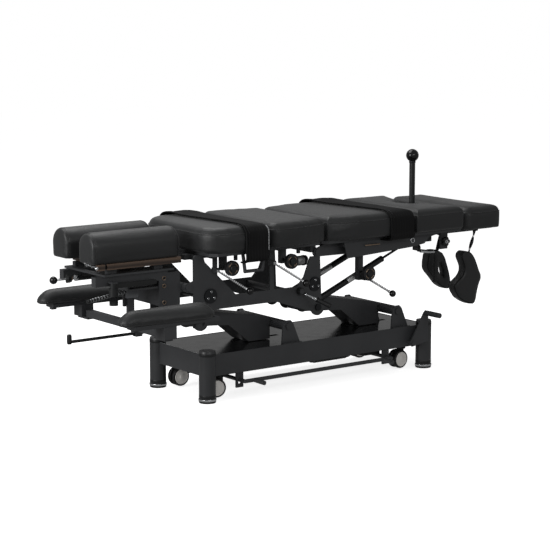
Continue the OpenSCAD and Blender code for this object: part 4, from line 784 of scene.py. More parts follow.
def waist(start, end, wide_at_start):
    """Half width that narrows along a quarter of a cosine."""
    curve = math.cos if wide_at_start else math.sin
    side = []
    for i in range(WAIST_STEPS + 1):
        share = i / WAIST_STEPS
        drop = 1 - curve(math.pi / 2 * share)
        side.append((start + (end - start) * share, HALF_W - (HALF_W - WAIST_W) * drop))
    return side


def corner(station, radius, start, end, side=1):
    return arc((station + side * radius, HALF_W - radius), radius, start, end, CORNER_STEPS)


OUTLINES = {
    "chest": mirrored(corner(CHEST_S, CHEST_CORNER, 180, 90)
                      + corner(LUMBAR_S - GAP_HALF, SEAM_CORNER, 90, 0, -1)),
    "lumbar": mirrored(corner(LUMBAR_S + GAP_HALF, LUMBAR_CORNER, 180, 90)
                       + waist(WAIST_FROM, PELVIC_S - GAP_HALF, True)),
    "pelvic": mirrored(waist(PELVIC_S + GAP_HALF, WAIST_TO, False)
                       + corner(LEG_S - GAP_HALF, SEAM_CORNER, 90, 0, -1)),
    "leg": mirrored(corner(LEG_S + GAP_HALF, SEAM_CORNER, 180, 90)
                    + corner(FOOT_S - GAP_HALF, SEAM_CORNER, 90, 0, -1)
                    + arc((TILLER_S, 0), NOTCH_R, 90, 180, NOTCH_STEPS)),
    "foot": mirrored(corner(FOOT_S + GAP_HALF, LUMBAR_CORNER, 180, 90)
                     + corner(END_S, END_CORNER, 90, 0, -1)),
}
# Draw-in and height over the underside, from the flat base to the crown, in mm
SIDE_PROFILE = [(9, 0), (4, 1.5), (2, 7), (1.2, 24), (1, 45), (1.2, 66), (1.6, 76), (3.2, 84),
                (7.5, 90.2), (15, 93.6)]
CROWN_PROFILE = [(26, 95.6), (48, 97), (74, 97.7), (100, 98)]
print("outlines:", {name: len(points) for name, points in OUTLINES.items()})


# %% [markdown]
# The cover is fitted by distance: each cushion is cut from its outline as a block, and
# every point of the block is then lowered and drawn in by how far it lies from the edge.
# Scaling the outline instead would squeeze the tiller bay of the leg cushion shut.

# %% How the cover follows the outline
PAD_H = SEAM_Z - PAD_LOW + CROWN_H
# Height of the cover at its very edge, and the row of the side profile that follows
EDGE_H, TOP_ROW = 72, 6
TOP_PROFILE = [(0, EDGE_H)] + SIDE_PROFILE[TOP_ROW:] + CROWN_PROFILE


def edge_distance(x, y, outline):
    """Distance in mm to the outline, and the way from its nearest point, inward."""
    best, towards = math.inf, (0, 0)
    for (ax, ay), (bx, by) in zip(outline, outline[1:] + outline[:1]):
        run, rise = bx - ax, by - ay
        length = run * run + rise * rise
        share = max(0, min(1, ((x - ax) * run + (y - ay) * rise) / length)) if length else 0
        dx, dy = x - ax - run * share, y - ay - rise * share
        far = math.hypot(dx, dy)
        if far < best:
            best, towards = far, (dx, dy)
    return best, towards


def height_at(distance):
    """Height of the top over the underside, at a distance from the edge."""
    for (near_d, near_h), (far_d, far_h) in zip(TOP_PROFILE, TOP_PROFILE[1:]):
        if distance < far_d:
            return near_h + (far_h - near_h) * (distance - near_d) / (far_d - near_d)
    return TOP_PROFILE[-1][1]


def pulled_in(height):
    """How far the side band is drawn in, with its fold at the underside."""
    for (pull, low), (next_pull, high) in zip(SIDE_PROFILE, SIDE_PROFILE[1:]):
        if height < high:
            return pull + (next_pull - pull) * (height - low) / (high - low)
    return 0


def inside_of(outline, inset):
    """The outline moved inward, point by point."""
    moved = []
    for i, (x, y) in enumerate(outline):
        (ax, ay), (bx, by) = outline[i - 1], outline[(i + 1) % len(outline)]
        length = math.hypot(bx - ax, by - ay) or 1
        moved.append((x + (by - ay) / length * inset, y - (bx - ax) / length * inset))
    return moved


def tree_of(piece):
    return BVHTree.FromObject(piece, bpy.context.evaluated_depsgraph_get())


def laid_on(tree, points, out_mm):
    """The points moved to the surface, out_mm proud of it."""
    found = [tree.find_nearest(point)[:2] for point in points]
    return [place + normal * out_mm * MM for place, normal in found]


# %% Body cushions
START_IN, VOXEL_MM, PULL_REACH, ON_BOARD = 3.0, 7.0, 14, 2
BODY_SWELL, SEAM_DIP, SEAM_DIP_W = 2.2, 2.4, 2.4
WELT_R, WELT_STEP, WELT_OUT, PROUD = 1.5, 9, 4, 0.1


def body_cushion(key, drop, body):
    name, low, seam_z = key + "_cushion", PAD_LOW - drop, SEAM_Z - drop
    outline = inside_of(OUTLINES[key], START_IN)
    ring = even_steps([at(x, y, 0) for x, y in outline], VOXEL_MM * MM)
    rings = [[p + Vector((0, 0, (low + h) * MM)) for p in ring]
             for h in range(0, PAD_H + 1, round(VOXEL_MM))]
    piece = evenly_meshed(ring_solid(name, rings, leatherette), VOXEL_MM, 2)
    edge = [(at(x, 0, 0).x / MM, y) for x, y in outline]
    for vertex in piece.data.vertices:
        x, y, z = (c / MM for c in vertex.co)
        distance, (dx, dy) = edge_distance(x, y, edge)
        height = max(0, z - low)
        lower = height_at(distance) / TOP_PROFILE[-1][1]
        pull = pulled_in(height * lower) * math.exp(-(distance / PULL_REACH) ** 2)
        far = max(distance, 1)
        vertex.co = Vector((x + dx / far * pull, y + dy / far * pull, low + height * lower)) * MM
    piece.data.update()
    swollen(piece, BODY_SWELL, low + ON_BOARD)
    subdivided(piece)
    creased(piece, lambda p: p.z - seam_z, SEAM_DIP, SEAM_DIP_W)
    seam = even_steps([at(x, y, seam_z) for x, y in inside_of(OUTLINES[key], -WELT_OUT)],
                      WELT_STEP * MM)
    cord = tube(key + "_welt", laid_on(tree_of(piece), seam, PROUD), WELT_R, welt, closed=True)
    piece = joined(name, [piece, cord])
    on_body(piece, body, "vinyl", name)
    print(name, len(piece.data.polygons), "faces")
    return piece


FOOT_DROP = 11
body_cushions = {key: body_cushion(key, drop, body)
                 for key, drop, body in (("chest", 0, "chest"), ("lumbar", 0, "lumbar"),
                                         ("pelvic", 0, "pelvic"), ("leg", 0, "caudal"),
                                         ("foot", FOOT_DROP, "foot_section"))}

# %% [markdown]
# ## Head cushions
#
# Two bolsters with a round top lie side by side, with a gap for the face between them.
# The cover of each has an arched panel at its two ends. The long panel is sewn to it a
# little way in, as a double line, so the foam shows its own soft edge beyond the seam.

# %% Section of a bolster
BOLSTER_L, BOLSTER_W, BOLSTER_H, FACE_GAP = 392, 118, 118, 38
BOLSTER_S, BOLSTER_Z, BOLSTER_IN = -102, 579, 2.5
# Inset from the side and height of the lower edge; way in from the end and draw-in there
LOWER_EDGE = [(5, 0), (1.5, 2), (0, 7)]
END_PROFILE = [(0, 13), (0.5, 7), (3, 3), (7, 1)]
SIDE_STEPS, TOP_STEPS, FLAT_STEPS, LONG_STEPS = 5, 28, 10, 40


def arch(radius, high):
    """Flat underneath, upright sides, half round on top."""
    foot, flat = LOWER_EDGE[-1][1], radius - LOWER_EDGE[0][0]
    side = [(inset - radius, z) for inset, z in LOWER_EDGE]
    side += [(-radius, foot + (high - foot) * i / SIDE_STEPS) for i in range(1, SIDE_STEPS)]
    section = side + [(-x, z) for x, z in arc((0, high), radius, 0, 180, TOP_STEPS)]
    section += [(-x, z) for x, z in reversed(side)]
    return section + [(flat - 2 * flat * i / FLAT_STEPS, 0) for i in range(1, FLAT_STEPS)]


# %% Head cushions
BOLSTER_VOXEL, BOLSTER_ROUNDS, BOLSTER_SWELL = 6, 3, 2
PANEL_SEAMS, PANEL_DIP, PANEL_DIP_W, PANEL_CORD_R = (14.0, 18.0), 1.2, 2.6, 0.9
SEAM_REACH = 4


def bolster(name, side, body):
    radius, high = BOLSTER_W / 2 - BOLSTER_IN, BOLSTER_H - BOLSTER_W / 2
    middle_y, head_s = side * (FACE_GAP + BOLSTER_W / 2), BOLSTER_S - BOLSTER_L
    length, first = BOLSTER_L - 2 * BOLSTER_IN, END_PROFILE[-1][0]
    steps = END_PROFILE + [(first + (length - 2 * first) * i / LONG_STEPS, 0)
                           for i in range(1, LONG_STEPS)]
    steps += [(length - s, drawn) for s, drawn in reversed(END_PROFILE)]
    rings = []
    for s, drawn in steps:
        shrink = 1 - drawn / radius
        rings.append([at(head_s + BOLSTER_IN + s, middle_y + y * shrink,
                         BOLSTER_Z + (z * shrink if z > ON_BOARD else z))
                      for y, z in arch(radius, high)])
    piece = evenly_meshed(ring_solid(name, rings, leatherette), BOLSTER_VOXEL, BOLSTER_ROUNDS)
    swollen(piece, BOLSTER_SWELL, BOLSTER_Z + ON_BOARD)
    subdivided(piece)
    low_x, high_x = at(head_s, 0, 0).x / MM, at(BOLSTER_S, 0, 0).x / MM
    between = sum(PANEL_SEAMS) / 2
    creased(piece, lambda p: min(abs(p.x - low_x - between), abs(high_x - p.x - between)),
            PANEL_DIP, PANEL_DIP_W)
    tree = tree_of(piece)
    pieces = [piece]
    for s in [head_s + way for way in PANEL_SEAMS] + [BOLSTER_S - way for way in PANEL_SEAMS]:
        line = [at(s, middle_y + y, BOLSTER_Z + z)
                for y, z in arch(radius + SEAM_REACH, high)[2:-FLAT_STEPS - 1]]
        pieces.append(tube("seam", laid_on(tree, line, PROUD), PANEL_CORD_R, welt))
    piece = joined(name, pieces)
    return on_body(piece, body, "vinyl", name)


head_cushions = [bolster("head_cushion_near", -1, "head_drop"),
                 bolster("head_cushion_far", 1, "head_drop")]
print("head cushions", [len(piece.data.polygons) for piece in head_cushions], "faces")

# %% [markdown]
# ## Arm rest pads
#
# Two long ovals, broad at the foot end and narrower at the head end. The rim with its welt
# lies low, near the board, and the top rises from it as a dome.

# %% Arm rest pads
REST_S, REST_Y, REST_Z, REST_L, REST_W, REST_H = -268, 300, 368, 424, 124, 58
TIP_SHARE, BROAD_STEPS, TIP_STEPS = 0.66, 26, 22
# Draw-in and height over the underside, from the flat base over the low rim to the dome
REST_PROFILE = [(14, 0), (5, 2), (0.8, 7), (0, 12), (3, 20), (8, 28), (15, 36), (23, 44), (32, 51),
                (42, 56), (52, REST_H + 1)]
REST_IN, REST_LIFT, REST_START_SHARE = 1.5, 0.5, 0.95
REST_VOXEL, REST_ROUNDS, REST_SWELL = 6, 12, 1.6
RIM_H, RIM_DIP, RIM_DIP_W, RIM_CORD_R = 13, 1.0, 2.2, 1.1
RIM_L_SHARE, RIM_W_SHARE = 1.02, 1.06


def rest_pad(name, side, body):
    radius, half = REST_W / 2, REST_L / 2
    tip = TIP_SHARE * radius
    outline = arc((half - radius, 0), radius, 90, -90, BROAD_STEPS) + \
        arc((tip - half, 0), tip, 270, 90, TIP_STEPS)
    rings = []
    for pull, height in REST_PROFILE:
        pull += REST_IN
        rings.append([at(REST_S + x * (1 - pull / half), side * REST_Y + y * (1 - pull / radius),
                         REST_Z + REST_LIFT + height * REST_START_SHARE) for x, y in outline])
    piece = evenly_meshed(ring_solid(name, rings, leatherette), REST_VOXEL, REST_ROUNDS)
    swollen(piece, REST_SWELL, REST_Z + ON_BOARD)
    subdivided(piece)
    creased(piece, lambda p: p.z - REST_Z - RIM_H, RIM_DIP, RIM_DIP_W)
    seam = [at(REST_S + x * RIM_L_SHARE, side * REST_Y + y * RIM_W_SHARE, REST_Z + RIM_H)
            for x, y in outline]
    cord = tube("seam", laid_on(tree_of(piece), seam, 0), RIM_CORD_R, welt, closed=True)
    piece = joined(name, [piece, cord])
    return on_body(piece, body, "vinyl", name)


rest_pads = [rest_pad("armrest_pad_near", -1, "near_rest"),
             rest_pad("armrest_pad_far", 1, "far_rest")]
print("arm rest pads", [len(piece.data.polygons) for piece in rest_pads], "faces")

# %% [markdown]
# ## Body straps
#
# Two broad straps hold the patient. Each lies over its cushion and is turned in under the
# edge of the board. It is a flat tape, so it is a sheet: a grid along the cushion's
# section, laid on the finished cushion, with shallow waves across it and a corded edge on
# its head side, where the tape is folded over and sewn with two rows of stitches.

# %% Section of a strap
STRAP_OUT, CURL_R, CURL_STEPS, UNDER_STEPS = 4, 20, 4, 4
UNDER_POINTS = UNDER_STEPS + CURL_STEPS + 1
# Way out from the cushion's side and height, up the side and over its edge
UP_THE_SIDE = [(4, 600), (4, 625), (4, 650), (3, 664), (-3, 674), (-16, 683)]
OVER_Z, OVER_STEPS = 692, 24


def strap_path(inner, low):
    """Side distance and height, from the near to the far hem."""
    curl_y = HALF_W + STRAP_OUT - CURL_R
    half = [(inner + (curl_y - inner) * i / UNDER_STEPS, low) for i in range(UNDER_STEPS)]
    half += arc((curl_y, low + CURL_R), CURL_R, 270, 360, CURL_STEPS)
    half += [(HALF_W + out, z) for out, z in UP_THE_SIDE]
    top_y = half[-1][0]
    half += [(top_y - top_y * i / OVER_STEPS, OVER_Z) for i in range(1, OVER_STEPS + 1)]
    return [(-y, z) for y, z in half] + list(reversed(half[:-1]))


# %% How a strap lies on its cushion
STRAP_T, STRAP_CLEAR, STRAP_COLUMNS = 3.4, 0.4, 28
WAVE, WAVE_ALONG, WAVE_ACROSS, WAVE_SEED = 1.4, 0.035, 0.012, 3.0
HEM_RISE, HEM_REACH = 3.4, 13
# Up to this height the strap hangs free of the cushion
CUSHION_FROM = PAD_LOW + 6
# The strap stands off where it turns over the cushion's edge, most at its middle
STRAP_ARCH, ARCH_Y, ARCH_REACH, ARCH_FROM, ARCH_SPAN = 10, 196, 52, 0.15, 0.75


def strap_point(tree, y, z, near, far, across):
    """A point of the strap, at a share of its width, laid on the cushion under it."""
    slant = min(1, max(0, (y + HALF_W) / (2 * HALF_W)))
    start = near[0] + (far[0] - near[0]) * slant
    end = near[1] + (far[1] - near[1]) * slant
    s = start + (end - start) * across
    if z <= CUSHION_FROM:
        return at(s, y, z)
    place, normal = tree.find_nearest(at(s, y, z))[:2]
    wave = noise.noise(Vector((s * WAVE_ALONG, y * WAVE_ACROSS, WAVE_SEED))) * WAVE + WAVE
    hem = HEM_RISE * math.exp(-((s - start) / HEM_REACH) ** 2)
    arched = STRAP_ARCH * math.exp(-((y - ARCH_Y) / ARCH_REACH) ** 2) * \
        math.sin(math.pi * (ARCH_FROM + ARCH_SPAN * across))
    point = place + normal * (STRAP_T / 2 + STRAP_CLEAR + wave + hem + arched) * MM
    point.x = at(s, 0, 0).x
    return point


# %% Body straps
CORD_LIFT, STITCH_LIFT = 1.2, 0.35
STITCH_STEP, STITCH_L, STITCH_R = 5.0, 3.4, 0.45
# Columns of the grid, counted from the head side, that carry a cord and its radius
HEM_CORDS = ((0, 3.4), (2, 3.0))
STITCH_COLUMNS = (1, 4)


def body_strap(name, body, key, near, far, inner, low):
    """Near and far give the stations of the two edges at the near and the far side."""
    tree = tree_of(body_cushions[key])
    path = strap_path(inner, low)
    count = len(path)
    columns = [[strap_point(tree, y, z, near, far, column / STRAP_COLUMNS) for y, z in path]
               for column in range(STRAP_COLUMNS + 1)]
    faces = [(c * count + i, c * count + i + 1, (c + 1) * count + i + 1, (c + 1) * count + i)
             for c in range(STRAP_COLUMNS) for i in range(count - 1)]
    piece = from_points(name, [p for points in columns for p in points], faces, webbing)
    modified(piece, "SUBSURF", levels=1, render_levels=1)
    modified(piece, "SOLIDIFY", thickness=STRAP_T * MM, offset=0)
    trim = []
    for column, radius in HEM_CORDS:
        edge = [p + Vector((0, 0, CORD_LIFT * MM)) if UNDER_POINTS < i < count - UNDER_POINTS
                else p for i, p in enumerate(columns[column])]
        trim.append(tube("cord", edge, radius, webbing))
    for column in STITCH_COLUMNS:
        row = [p + Vector((0, 0, (STRAP_T / 2 + STITCH_LIFT) * MM))
               for p in columns[column][UNDER_POINTS:-UNDER_POINTS]]
        trim.append(repeated("stitches", row, STITCH_STEP, STITCH_L, STITCH_R, thread))
    trim = on_body(joined(name + "_edge", trim), body, "webbing")
    on_body(piece, body, "webbing", name)


body_strap("chest_strap", "chest", "chest", (124, 226), (68, 212), 234, 547)
body_strap("pelvic_strap", "pelvic", "pelvic", (851, 975), (775, 925), 208, 573)

# %% [markdown]
# ## Ankle cuffs
#
# Two padded cuffs hang from the foot end by short tapes. Each is cut from thick foam with
# a soft cover, bent round like a C, and bound along its edges. The outlines are shares of
# the cuff's length, so they follow it.

# %% Outlines of the cuffs
CUFF_S, CUFF_BAR_Z, CUFF_L, CUFF_W = 1436, 558, 245, 46
ROUNDING_SHARE = 0.22
NEAR_CUFF_Y, FAR_CUFF_Y = -128, 70
NEAR_SHARES = [(-0.38, -0.42), (-0.3, -0.34), (-0.16, -0.36), (-0.06, -0.46), (0, -0.56),
               (0.13, -0.85), (0.08, -0.96), (-0.02, -1.31), (-0.11, -1.33), (-0.37, -1.23),
               (-0.5, -1.08), (-0.54, -0.96), (-0.49, -0.9), (-0.31, -0.76), (-0.29, -0.64)]
FAR_SHARES = [(-0.42, -0.5), (-0.34, -0.42), (-0.21, -0.43), (-0.05, -0.52), (0.08, -0.85),
              (0.13, -1.09), (0.12, -1.15), (0.03, -1.18), (-0.15, -1.09), (-0.31, -0.93),
              (-0.43, -0.79), (-0.45, -0.71)]
HOLE_SHARES = [(-0.11, -0.64), (-0.02, -0.85), (-0.03, -0.97), (-0.11, -0.93), (-0.17, -0.81),
               (-0.17, -0.66)]


def cuff_outline(shares):
    """Closed smooth outline in the side view, from shares of the cuff's length."""
    points = [Vector((CUFF_S + x * CUFF_L, CUFF_BAR_Z + z * CUFF_L)) for x, z in shares]
    rounded = []
    for i, point in enumerate(points):
        before, after = points[i - 1], points[(i + 1) % len(points)]
        rounded += [point.lerp(before, ROUNDING_SHARE), point.lerp(after, ROUNDING_SHARE)]
    return rounded


# %% Cuff pads
CUFF_IN, CUFF_STEP, CUFF_VOXEL, CUFF_ROUNDS, CUFF_SWELL, PLUG_OUT = 2, 7, 4.5, 5, 4, 9
BINDING_OUT, BINDING_STEP, BINDING_R, BINDING_PROUD = 3, 9, 1.8, 0.3


def cuff(name, y, shares, hole):
    low, high = y - CUFF_W / 2 + CUFF_IN, y + CUFF_W / 2 - CUFF_IN
    outline = even_steps(cuff_outline(shares), CUFF_STEP)
    piece = slab_between(name, outline, low, high, leatherette)
    if hole:
        plug = slab_between("plug", cuff_outline(hole), low - PLUG_OUT, high + PLUG_OUT,
                            leatherette)
        modified(piece, "BOOLEAN", object=plug, solver="EXACT")
        bpy.data.objects.remove(plug)
    evenly_meshed(piece, CUFF_VOXEL, CUFF_ROUNDS)
    swollen(piece, CUFF_SWELL, None)
    subdivided(piece)
    tree = tree_of(piece)
    pieces = [piece]
    for side in (low - BINDING_OUT, high + BINDING_OUT):
        edge = [at(s, side, z) for s, z in even_steps(cuff_outline(shares), BINDING_STEP)]
        pieces.append(tube("binding", laid_on(tree, edge, BINDING_PROUD), BINDING_R, webbing,
                           closed=True))
    return pieces


# %% Cuff tapes
TAPE_HALF, TAPE_T, TAPE_ROWS, TAPE_BACK, TAPE_TOP, TAPE_SHARE = 10, 1.6, 24, 38, 4, 0.44
TAPE_APART, TAPE_SKEW = 9.0, 0.12
LOOP_Y, LOOP_R, LOOP_CORD_R, LOOP_STEPS = 9, 6.2, 1.6, 20


def cuff_tape(y, twist):
    """Two layers of tape from the bar down to the cuff, turned a little on the way."""
    tapes = []
    for shift, finish in ((0.0, soft_knit), (TAPE_APART, webbing)):
        points = []
        for i in range(TAPE_ROWS + 1):
            share = i / TAPE_ROWS
            bulge = math.sin(math.pi * share)
            angle = twist * bulge + TAPE_SKEW * shift / TAPE_APART
            half = Vector((math.sin(angle), math.cos(angle), 0)) * TAPE_HALF * MM
            middle = at(CUFF_S - shift * bulge - TAPE_BACK * share ** 2, y,
                        CUFF_BAR_Z - TAPE_TOP - share * TAPE_SHARE * CUFF_L)
            points += [middle - half, middle, middle + half]
        faces = [(r * 3 + c, r * 3 + c + 1, r * 3 + c + 4, r * 3 + c + 3)
                 for r in range(TAPE_ROWS) for c in range(2)]
        tape = from_points("tape", points, faces, finish)
        tapes.append(modified(tape, "SOLIDIFY", thickness=TAPE_T * MM, offset=0))
    return tapes


cuff_parts = cuff("near_cuff", NEAR_CUFF_Y, NEAR_SHARES, None)
cuff_parts += cuff("far_cuff", FAR_CUFF_Y, FAR_SHARES, HOLE_SHARES)
for y, twist in ((NEAR_CUFF_Y, 1.1), (FAR_CUFF_Y, -0.4)):
    cuff_parts += cuff_tape(y, twist)
    for side in (-1, 1):
        loop = circle(at(CUFF_S, y + side * LOOP_Y, CUFF_BAR_Z), (0, 1, 0), LOOP_R, LOOP_STEPS)
        cuff_parts.append(tube("loop", loop, LOOP_CORD_R, webbing, closed=True))
cuffs = joined("ankle_cuffs", cuff_parts)
on_body(cuffs, "cuffs", "vinyl", "ankle_cuffs")
print("cuffs", len(cuffs.data.polygons), "faces")

# %% [markdown]
# ## Casters
#
# Each caster has two wheels on one axle: a black tread with rounded shoulders, and a warm
# light grey hub moulded with a shallow ring, which stands a little proud of the tread. In
# the photograph these pale discs are the only light things under the table.

# %% Casters
CASTER_R, WHEEL_IN, CASTER_S, CASTER_Y, TRAIL = 38.5, 6, 88, 132, 18
CASTER_LIFT, POST_PITCH = 4, 1110
# Degrees that each caster is turned on its swivel
CASTER_TURNS = (-16, 0, 4, -6)
TREAD = [(0, 0.5), (15, 0.5), (24, 0.5), (30, 0), (35.5, 0.2), (37.6, 1.6), (38.4, 4.4),
         (38.5, 8.5), (38.4, 12.6), (37.6, 15.4), (35.5, 16.8), (31, 17), (0, 17)]
HUB_DISC = [(0, 14), (30.6, 14), (30.8, 17.6), (29.6, 18.4), (27.0, 18.6), (25.8, 17.4),
            (24.6, 17.2), (23.4, 18.2), (9.6, 19.4), (8.8, 20.3), (7.2, 20.6), (0, 20.6)]
swivels = [at(s, side * CASTER_Y, CASTER_LIFT + CASTER_R)
           for s in (CASTER_S, POST_PITCH - CASTER_S) for side in (-1, 1)]
for number, (swivel, degrees) in enumerate(zip(swivels, CASTER_TURNS), 1):
    turn = Matrix.Rotation(math.radians(degrees), 3, "Z")
    wheels = []
    for out in (-1, 1):
        axis = turn @ Vector((0, out, 0))
        inner = swivel + turn @ Vector((-TRAIL * MM, out * WHEEL_IN * MM, 0))
        wheels.append(turned("tread", TREAD, inner, axis, rubber, 56))
        wheels.append(turned("hub", HUB_DISC, inner, axis, hub_grey, 48))
    on_body(joined(f"caster_wheels_{number}_dressed", wheels), f"wheels_{number}", "tread",
            f"caster_wheels_{number}")
print("casters at", [tuple(round(c, 3) for c in swivel) for swivel in swivels])

# %% [markdown]
# ## Small metal on the base
#
# The levelling feet have a bright band over their rubber, and each hub disc of the lift
# arms is held by three chrome screws. These are turned parts, and a loop sets each one.

# %% Bands of the feet and screws of the hubs
POST_Y, SIDE_OUT, HUB_T, HUB_RING = 176, 156, 5, 17
# Station and height of the two hubs on each side
HUBS = ((30, 414), (540, 411))
BAND = [(33.4, 8), (34.9, 8.2), (35.3, 9), (35.3, 15), (34.9, 15.8), (33.4, 16)]
SCREW = [(0, -0.5), (4.7, -0.5), (4.9, 3.4), (4.2, 4.5), (2.6, 4.8), (2.4, 3.6), (0, 3.6)]

bands = [turned("band", BAND, at(s, side * POST_Y, 0), (0, 0, 1), chrome, 56)
         for s in (0, POST_PITCH) for side in (-1, 1)]
on_body(joined("foot_bands", bands), "base", "chrome")

screws = []
for s, z in HUBS:
    for side in (-1, 1):
        for x, y in arc((s, z), HUB_RING, 90, 330, 2):
            screws.append(turned("screw", SCREW, at(x, side * (SIDE_OUT + HUB_T), y),
                                 (0, side, 0), chrome, 20))
on_body(joined("hub_screws", screws), "centre", "chrome")
print(len(bands), "bands and", len(screws), "screws")

# %% [markdown]
# ## Head boards
#
# Under the bolsters the boards stop short of the head end, so from there one sees the
# bolsters overhang. Only the near board has a strip that runs on, and a small end block
# held by a chrome bolt, with a steel rod that crosses under the bolster from it.

# %% Head boards
BOARD_S, STRIP_S, BOARD_END = -400, -430, -102
BOARD_Y, STRIP_Y, BOARD_Z = (40, 154), 138, (557, 579)
BLOCK_S, ROD_S, ROD_Z, ROD_R = (-470, -440), -455, 567, 4.5
LINK_IN, LINK_OUT, LINK_LAP, LINK_DROP, ROD_LAP, BOLT_IN, CHAMFER = 3, 12, 2, 4, 3, 6, 0.8
BOLT = [(0, 0), (8, 0), (8, 5), (4.5, 6), (4.5, 9), (3, 10), (0, 10)]
NUT_SHARES = (-0.85, -0.6, -0.35)


def block(name, s_range, y_range, z_range, material):
    """Block with fine chamfers between stations, sides and heights."""
    (s0, s1), (y0, y1) = s_range, y_range
    rings = [[at(s0, y0, z), at(s1, y0, z), at(s1, y1, z), at(s0, y1, z)] for z in z_range]
    return edged(ring_solid(name, rings, material), CHAMFER, smooth=False)


NEAR_Y, NEAR_STRIP_Y = (-BOARD_Y[1], -BOARD_Y[0]), (-BOARD_Y[1], -STRIP_Y)
boards = [block("board", (BOARD_S, BOARD_END), BOARD_Y, BOARD_Z, walnut),
          block("board", (BOARD_S, BOARD_END), NEAR_Y, BOARD_Z, walnut),
          block("strip", (STRIP_S, BOARD_S), NEAR_STRIP_Y, BOARD_Z, walnut),
          block("end block", BLOCK_S, NEAR_STRIP_Y, BOARD_Z, walnut),
          block("link", (BLOCK_S[1] - LINK_LAP, STRIP_S + LINK_LAP),
                (LINK_IN - STRIP_Y - LINK_OUT, -STRIP_Y), (BOARD_Z[0] + LINK_DROP, BOARD_Z[1]),
                dark_steel),
          sleeve(at(ROD_S, -STRIP_Y - ROD_LAP, ROD_Z), at(ROD_S, -BOARD_Y[0], ROD_Z), ROD_R,
                 chrome),
          turned("bolt", BOLT, at(BLOCK_S[0], BOLT_IN - BOARD_Y[1], ROD_Z), (-1, 0, 0), chrome,
                 HEX)]
boards += [turned("nut", BOLT[:3], at(ROD_S, share * BOARD_Y[1], ROD_Z), (0, 1, 0), chrome,
                  HEX)
           for share in NUT_SHARES]
on_body(joined("head_boards_dressed", boards), "head_drop", "board_wood", "head_boards")
print(len(boards), "parts on the head boards")

# %% [markdown]
# ## Ball levers
#
# Every hand lever ends in a polished black ball and has a rod with a coarse thread, whose
# crests read as a row of bright dots. What the solids already hold keeps its form here: its
# faces take the finish they need, and thin pieces on top of them add threads and nuts.

# %% Faces of another finish


def finish_where(node, finish, test):
    """Gives the faces of a solid whose middle passes the test another finish."""
    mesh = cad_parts[node].data
    mesh.materials.append(finish)
    for face in mesh.polygons:
        if test(face.center):
            face.material_index = len(mesh.materials) - 1


def near_to(place, radius_mm):
    return lambda point: (point - place).length < radius_mm * MM


# %% Ball levers
THREAD_SIDES, CREST_SHARE = 14, 0.45


def threaded(start, end, radius_mm, finish, pitch_mm):
    """Crests of a coarse thread at even steps along a rod."""
    return repeated("thread", [start, end], pitch_mm, pitch_mm * CREST_SHARE, radius_mm, finish,
                    THREAD_SIDES)


# Root of each lever, as station, side and height, and its reach from there
LEVERS = {"chest": ((54, -168, 514), (89, -94, -78)),
          "lumbar": ((327, -168, 518), (89, -94, -78)),
          "pelvic": ((802, -170, 412), (63, -90, -60))}
LEVER_BALL_R, THREAD_R, THREAD_PITCH, NUT_BACK = 14, 5.3, 7.5, 21
THREAD_SHARES = (0.16, 0.84)
BALL_NUT = [(0, 0), (6, 0), (6.4, 1), (6.4, 7), (5, 8), (0, 8)]
for key, (root, reach) in LEVERS.items():
    start, reach = at(*root), Vector(reach) * MM
    ball = start + reach
    finish_where(key + "_lever", phenolic, near_to(ball, LEVER_BALL_R + 1))
    nut = turned("nut", BALL_NUT, ball - reach.normalized() * NUT_BACK * MM, reach, chrome, HEX)
    first, last = (start + reach * share for share in THREAD_SHARES)
    thread_piece = threaded(first, last, THREAD_R, thread_zinc, THREAD_PITCH)
    on_body(joined(key + "_lever_thread", [thread_piece, nut]), key + "_lever", "chrome")
    print(key, "lever reaches", round(reach.length / MM), "mm")

# %% [markdown]
# ## Tension wheels
#
# The hand wheels have ribbed black rims, a moulded cap and brass arcs on their faces. The
# rim is an outline that steps in and out, rib by rib, and the arcs are bent brass wire.

# %% Tension wheels
# Station and height of each wheel
WHEELS = {"chest": (102, 521), "lumbar": (390, 522), "pelvic": (786, 436)}
WHEEL_FACE, WHEEL_T, RIBS = -208, 16, 40
RIM_PROUD, RIM_LOW, RIM_HIGH, RIM_EDGE = 0.6, 29.2, 30.2, 0.3
ARC_R, ARC_T, ARC_PROUD, ARC_FROM, ARC_SPAN, ARC_STEPS = 20, 1.7, 0.8, 18, 52, 12
WHEEL_CAP = [(13.2, 0), (13.6, 5.4), (12.2, 7), (6, 7.4), (5.4, 6.4), (0, 6.4)]
for key, (s, z) in WHEELS.items():
    rim = []
    for i in range(2 * RIBS):
        radius, angle = (RIM_LOW, RIM_HIGH)[i % 2], math.pi * i / RIBS
        rim.append((s + radius * math.cos(angle), z + radius * math.sin(angle)))
    parts = [edged(slab_between("rim", rim, WHEEL_FACE - RIM_PROUD,
                                WHEEL_FACE + WHEEL_T + RIM_PROUD, nylon_black), RIM_EDGE),
             turned("cap", WHEEL_CAP, at(s, WHEEL_FACE, z), (0, -1, 0), abs_black, 36)]
    for first in range(ARC_FROM, 360, 90):
        line = arc((s, z), ARC_R, first, first + ARC_SPAN, ARC_STEPS)
        parts.append(tube("arc", [at(x, WHEEL_FACE - ARC_PROUD, y) for x, y in line], ARC_T,
                          brass))
    on_body(joined(key + "_wheel_rim", parts), key + "_wheel", "black_plastic")
print(len(WHEELS), "wheels with", RIBS, "ribs each")

# %% [markdown]
# ## Bands and sleeves
#
# The flexion lever, the gas struts, the tiller and the traction handle each carry a band of
# another metal or rubber, which the solid doesn't show. A band is a thin sleeve a few
# tenths of a millimetre proud of the rod, placed by shares of the rod's own length.

# %% Flexion lever and gas struts


def sleeves_along(start, end, bands, sides=28):
    """A sleeve for each band: its first and last share of the way, radius and finish."""
    return [sleeve(start.lerp(end, first), start.lerp(end, last), radius, finish, sides)
            for first, last, radius, finish in bands]


